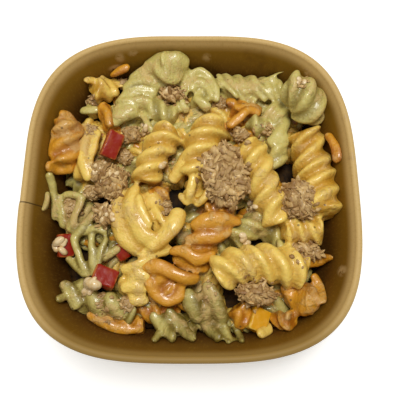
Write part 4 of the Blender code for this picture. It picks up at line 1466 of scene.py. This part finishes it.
def make_flake(name, stations, count, half_width, fibres, depth):
    """A flake of fish, 1 long, of fibres that lie side by side, with ragged ends."""
    points = []
    faces = []
    for station in range(stations):
        share = station / (stations - 1)
        full = max(0.25, math.sin(math.pi * share) ** 0.45)
        lift = 0.05 * math.sin(math.pi * share)
        for step in range(count):
            angle = 2 * math.pi * step / count
            groove = 1.0 - depth * (0.5 + 0.5 * math.cos(math.pi * fibres * math.cos(angle)))
            ragged = 0.05 * math.sin(5.0 * angle) if station in (0, stations - 1) else 0.0
            x = share - 0.5 + ragged
            y = half_width * full * math.cos(angle)
            z = half_width * 0.55 * full * groove * math.sin(angle) + lift
            points.append((x, y, z))
    for station in range(stations - 1):
        for step in range(count):
            after = (step + 1) % count
            first = station * count
            last = first + count
            faces.append((first + step, first + after, last + after, last + step))
    faces.append(tuple(reversed(range(count))))
    faces.append(tuple(range((stations - 1) * count, stations * count)))
    mesh = bpy.data.meshes.new(name)
    mesh.from_pydata(points, [], faces)
    form = bmesh.new()
    form.from_mesh(mesh)
    bmesh.ops.recalc_face_normals(form, faces=form.faces)
    form.to_mesh(mesh)
    form.free()
    return linked(name, mesh)


def make_blob():
    """A soft dab of dressing, 1 across."""
    form = bmesh.new()
    bmesh.ops.create_icosphere(form, subdivisions=3, radius=0.5)
    for vertex in form.verts:
        vertex.co.z *= BLOB_HEIGHT
    return linked("blob_form", freed("blob_form", form))


def points_mesh(name, spots):
    """A mesh of bare points, each with the way it faces, its lean and its sides."""
    mesh = bpy.data.meshes.new(name)
    mesh.from_pydata([spot[0] for spot in spots], [], [])
    for number, label in ((1, "facing"), (2, "lean"), (3, "sides")):
        values = [part for spot in spots for part in spot[number]]
        mesh.attributes.new(label, "FLOAT_VECTOR", "POINT").data.foreach_set("vector", values)
    marked(mesh, "tone", [spot[4] for spot in spots])
    return mesh


def flake_spots(mesh, chance, per_area, lengths):
    """Places for flakes all over a lump, so many to the square millimetre."""
    spots = []
    carried = 0.0
    for face in mesh.polygons:
        carried += face.area / MM**2 * per_area
        while carried > chance.random() + 0.5:
            carried -= 1.0
            long = chance.uniform(*lengths) * MM
            wide = long * chance.uniform(0.6, 1.2)
            lean = (chance.uniform(-0.3, 0.3), chance.uniform(-0.2, 0.2), chance.uniform(0.0, 6.28))
            tone = chance.random()
            spots.append((face.center, face.normal, lean, (long, wide, wide), tone))
    return spots


def crumb_spots(patches, surface, seed):
    """Places for crumbs where a line from the eye meets the food."""
    chance = random.Random(seed)
    spots = []
    eye = EYE * MM
    for x, y, radius, count, size in patches:
        for _ in range(count):
            bearing = chance.uniform(0.0, 2 * math.pi)
            out = radius * chance.random() ** 0.5
            aim = Vector((x + out * math.cos(bearing), y + out * math.sin(bearing), READING_HEIGHT))
            hit, normal, _, _ = surface.ray_cast(eye, (aim * MM - eye).normalized())
            long = size * chance.uniform(0.6, 1.7) * MM
            wide = long * chance.uniform(0.9, 1.8)
            lean = (chance.uniform(-0.3, 0.3), chance.uniform(-0.4, 0.4), chance.uniform(0.0, 6.28))
            tone = chance.random()
            if hit is None or normal.z < LEAST_UPWARD:
                continue
            spots.append((hit + normal * 0.08 * wide, normal, lean, (long, wide, wide), tone))
    return spots


def surface_of(objects):
    """All these objects' faces as one thing that a line can meet."""
    points = []
    faces = []
    for obj in objects:
        first = len(points)
        points += [vertex.co.copy() for vertex in obj.data.vertices]
        faces += [tuple(first + index for index in face.vertices) for face in obj.data.polygons]
    return BVHTree.FromPolygons(points, faces)


def lumps_under(form, spots, names, waver, tone, tree, keys, material):
    """Lumps joined in one piece, and the flakes or crumbs on them in another."""
    lump_name, flake_name, flake_form = names
    values = {"Form": flake_form, "Waver": waver, "Material": material}
    flakes = grown(flake_name, points_mesh(f"{flake_name}_points", spots), tree, keys, values)
    joined = freed(lump_name, form)
    joined.shade_smooth()
    marked(joined, "tone", [tone] * len(joined.vertices))
    joined.materials.append(material)
    keep_inside(flakes.data, WALL_GAP)
    return linked(lump_name, joined), flakes


def make_tuna(tree, keys, flake, material):
    """The lumps of tuna, each with its flakes."""
    form = bmesh.new()
    chance = random.Random(FLAKE_SEED)
    spots = []
    for lump in TUNA_LUMPS:
        mesh = make_lump(*lump)
        form.from_mesh(mesh)
        spots += flake_spots(mesh, chance, FLAKES_PER_AREA, FLAKE_LENGTHS)
    names = ("tuna_lumps", "tuna_flakes", flake)
    return lumps_under(form, spots, names, FLAKE_WAVER, LUMP_TONE, tree, keys, material)


def make_mix(tree, keys, crumb, material):
    """The wet mix in the hollows between the pasta, under crumbs of its own."""
    form = bmesh.new()
    chance = random.Random(FLAKE_SEED + 1)
    spots = []
    for number, (place, sides) in enumerate(MIX_DABS):
        turn = MIX_TURN * number
        mesh = make_lump("mix_dab", place, sides, turn, MIX_FINENESS, MIX_SEED + number)
        form.from_mesh(mesh)
        spots += flake_spots(mesh, chance, CRUMBS_PER_AREA, CRUMB_LENGTHS)
    names = ("mix_dabs", "mix_crumbs", crumb)
    dabs, grains = lumps_under(form, spots, names, CRUMB_WAVER, MIX_TONE, tree, keys, material)
    keep_inside(dabs.data, WALL_GAP)
    return dabs, grains


def make_pepper(name, place, sides, turn, material):
    """A dice of pepper with rounded edges, dented sides and its cut faces marked."""
    form = bmesh.new()
    bmesh.ops.create_cube(form, size=1.0)
    bmesh.ops.subdivide_edges(form, edges=form.edges, cuts=PEPPER_CUTS, use_grid_fill=True)
    middle = placed(place, max(sides) * MM / 2 + PEPPER_MARGIN)
    spin = Euler([math.radians(angle) for angle in turn]).to_matrix()
    half = Vector(sides) * MM / 2
    inner = half - Vector((PEPPER_ROUNDING,) * 3)
    edges = []
    cuts = []
    for vertex in form.verts:
        flat = Vector(2 * part * side for part, side in zip(vertex.co, half))
        kept = Vector(max(-side, min(side, part)) for part, side in zip(flat, inner))
        away = sorted(side - abs(part) for part, side in zip(flat, half))[1]
        out = (flat - kept).normalized()
        spot = (flat + half) * PEPPER_DENT_WAVES + Vector((len(name), 0.0, 0.0))
        dent = PEPPER_DENT * noise.noise(spot)
        vertex.co = middle + spin @ (kept + out * (PEPPER_ROUNDING + dent))
        # The edge mark carries the paler edges, which are partly a painted highlight.
        edges.append(math.exp(-((away / PEPPER_EDGE) ** 2)))
        cuts.append(0.0 if flat.z > 0.98 * half.z else 1.0)
    mesh = freed(f"{name}_dice", form)
    marked(mesh, "edge", edges)
    marked(mesh, "cut", cuts)
    mesh.shade_smooth()
    mesh.materials.append(material)
    dice = linked(f"{name}_dice", mesh)
    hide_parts(name)
    return dice


# Light, floor and camera.


def add_light(name, place, size, power):
    """A round area light that shines on the food."""
    data = bpy.data.lights.new(name, "AREA")
    data.shape = "DISK"
    data.size = size
    data.energy = power
    lamp = bpy.data.objects.new(name, data)
    lamp.location = place
    aim = Vector((0.0, 0.0, LIT_HEIGHT)) - Vector(place)
    lamp.rotation_euler = aim.to_track_quat("-Z", "Y").to_euler()
    bpy.context.scene.collection.objects.link(lamp)


def make_studio():
    """The world, the lights, the pale floor and the camera."""
    scene = bpy.context.scene
    scene.view_settings.view_transform = "Standard"
    world = bpy.data.worlds.new("soft_studio")
    scene.world = world
    world.use_nodes = True
    backdrop = world.node_tree.nodes["Background"]
    backdrop.inputs["Color"].default_value = SKY_TINT
    backdrop.inputs["Strength"].default_value = SKY_STRENGTH
    for name, light in LIGHTS.items():
        add_light(name, *light)

    form = bmesh.new()
    bmesh.ops.create_grid(form, x_segments=2, y_segments=2, size=FLOOR_SIZE)
    mesh = freed("pale_floor", form)
    floor = linked("pale_floor", mesh)
    material, board, shader, place = new_material("pale_floor")
    cloud = board.noise(place, 3.0)
    pale = board.mixed(cloud * 0.02, FLOOR_WHITE, WHITE)
    glow = {"Emission Color": FLOOR_WHITE, "Emission Strength": FLOOR_GLOW}
    join(board, shader, {"Base Color": pale, "Roughness": 0.9, **glow})
    mesh.materials.append(material)

    data = bpy.data.cameras.new("camera")
    data.sensor_width = SENSOR
    data.lens = LENS
    camera = bpy.data.objects.new("camera", data)
    camera.location = EYE * MM
    camera.rotation_euler = (LOOK_AT - EYE).to_track_quat("-Z", "Y").to_euler()
    scene.collection.objects.link(camera)
    scene.camera = camera


def main():
    make_studio()
    kraft = board_material()
    wall, base = make_bowl()
    for piece, node in ((wall, "bowl_wall"), (base, "bowl_base")):
        piece.data.materials.append(kraft)
        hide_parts(node)
    pieces = [wall, base]

    core = make_core()
    pasta = make_pasta()
    for piece in (core, *pasta):
        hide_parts("pasta_heap")
    pieces += [core, *pasta]

    strewn, keys = make_strewn_tree()
    flake = make_flake("flake_form", *FLAKE_FORM)
    crumb = make_flake("crumb_form", *CRUMB_FORM)
    blob = make_blob()
    fish = tuna_material()
    lumps, flakes = make_tuna(strewn, keys, flake, fish)
    for piece in (lumps, flakes):
        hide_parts(*[lump[0] for lump in TUNA_LUMPS])
    pieces += [lumps, flakes]

    mix = mix_material()
    dabs, grains = make_mix(strewn, keys, crumb, mix)
    for piece in (dabs, grains):
        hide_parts("pasta_heap")
    pieces += [dabs, grains]

    skins = {
        "red_pepper": pepper_material("red_pepper_skin", RED_SKIN, RED_FLESH),
        "yellow_pepper": pepper_material("yellow_pepper_skin", YELLOW_SKIN, YELLOW_FLESH),
    }
    dice = []
    for name, place, sides, turn in PEPPER_DICE:
        dice.append(make_pepper(name, place, sides, turn, skins[name.rsplit("_", 1)[0]]))
    pieces += dice

    surface = surface_of([*pasta, lumps, dabs, *dice])
    for name, patches, seed, form, material in (
        ("tuna_crumbs", TUNA_CRUMBS, TUNA_CRUMBS_SEED, crumb, fish),
        ("dressing_clumps", DRESSING_CLUMPS, DRESSING_SEED, blob, dressing_material()),
    ):
        mesh = points_mesh(f"{name}_points", crumb_spots(patches, surface, seed))
        values = {"Form": form, "Waver": CRUMB_WAVER, "Material": material}
        crumbs = grown(name, mesh, strewn, keys, values)
        keep_inside(crumbs.data, WALL_GAP)
        pieces.append(crumbs)
    for form in (flake, crumb, blob):
        bpy.data.objects.remove(form)

    for piece in pieces:
        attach(piece, "root")


main()
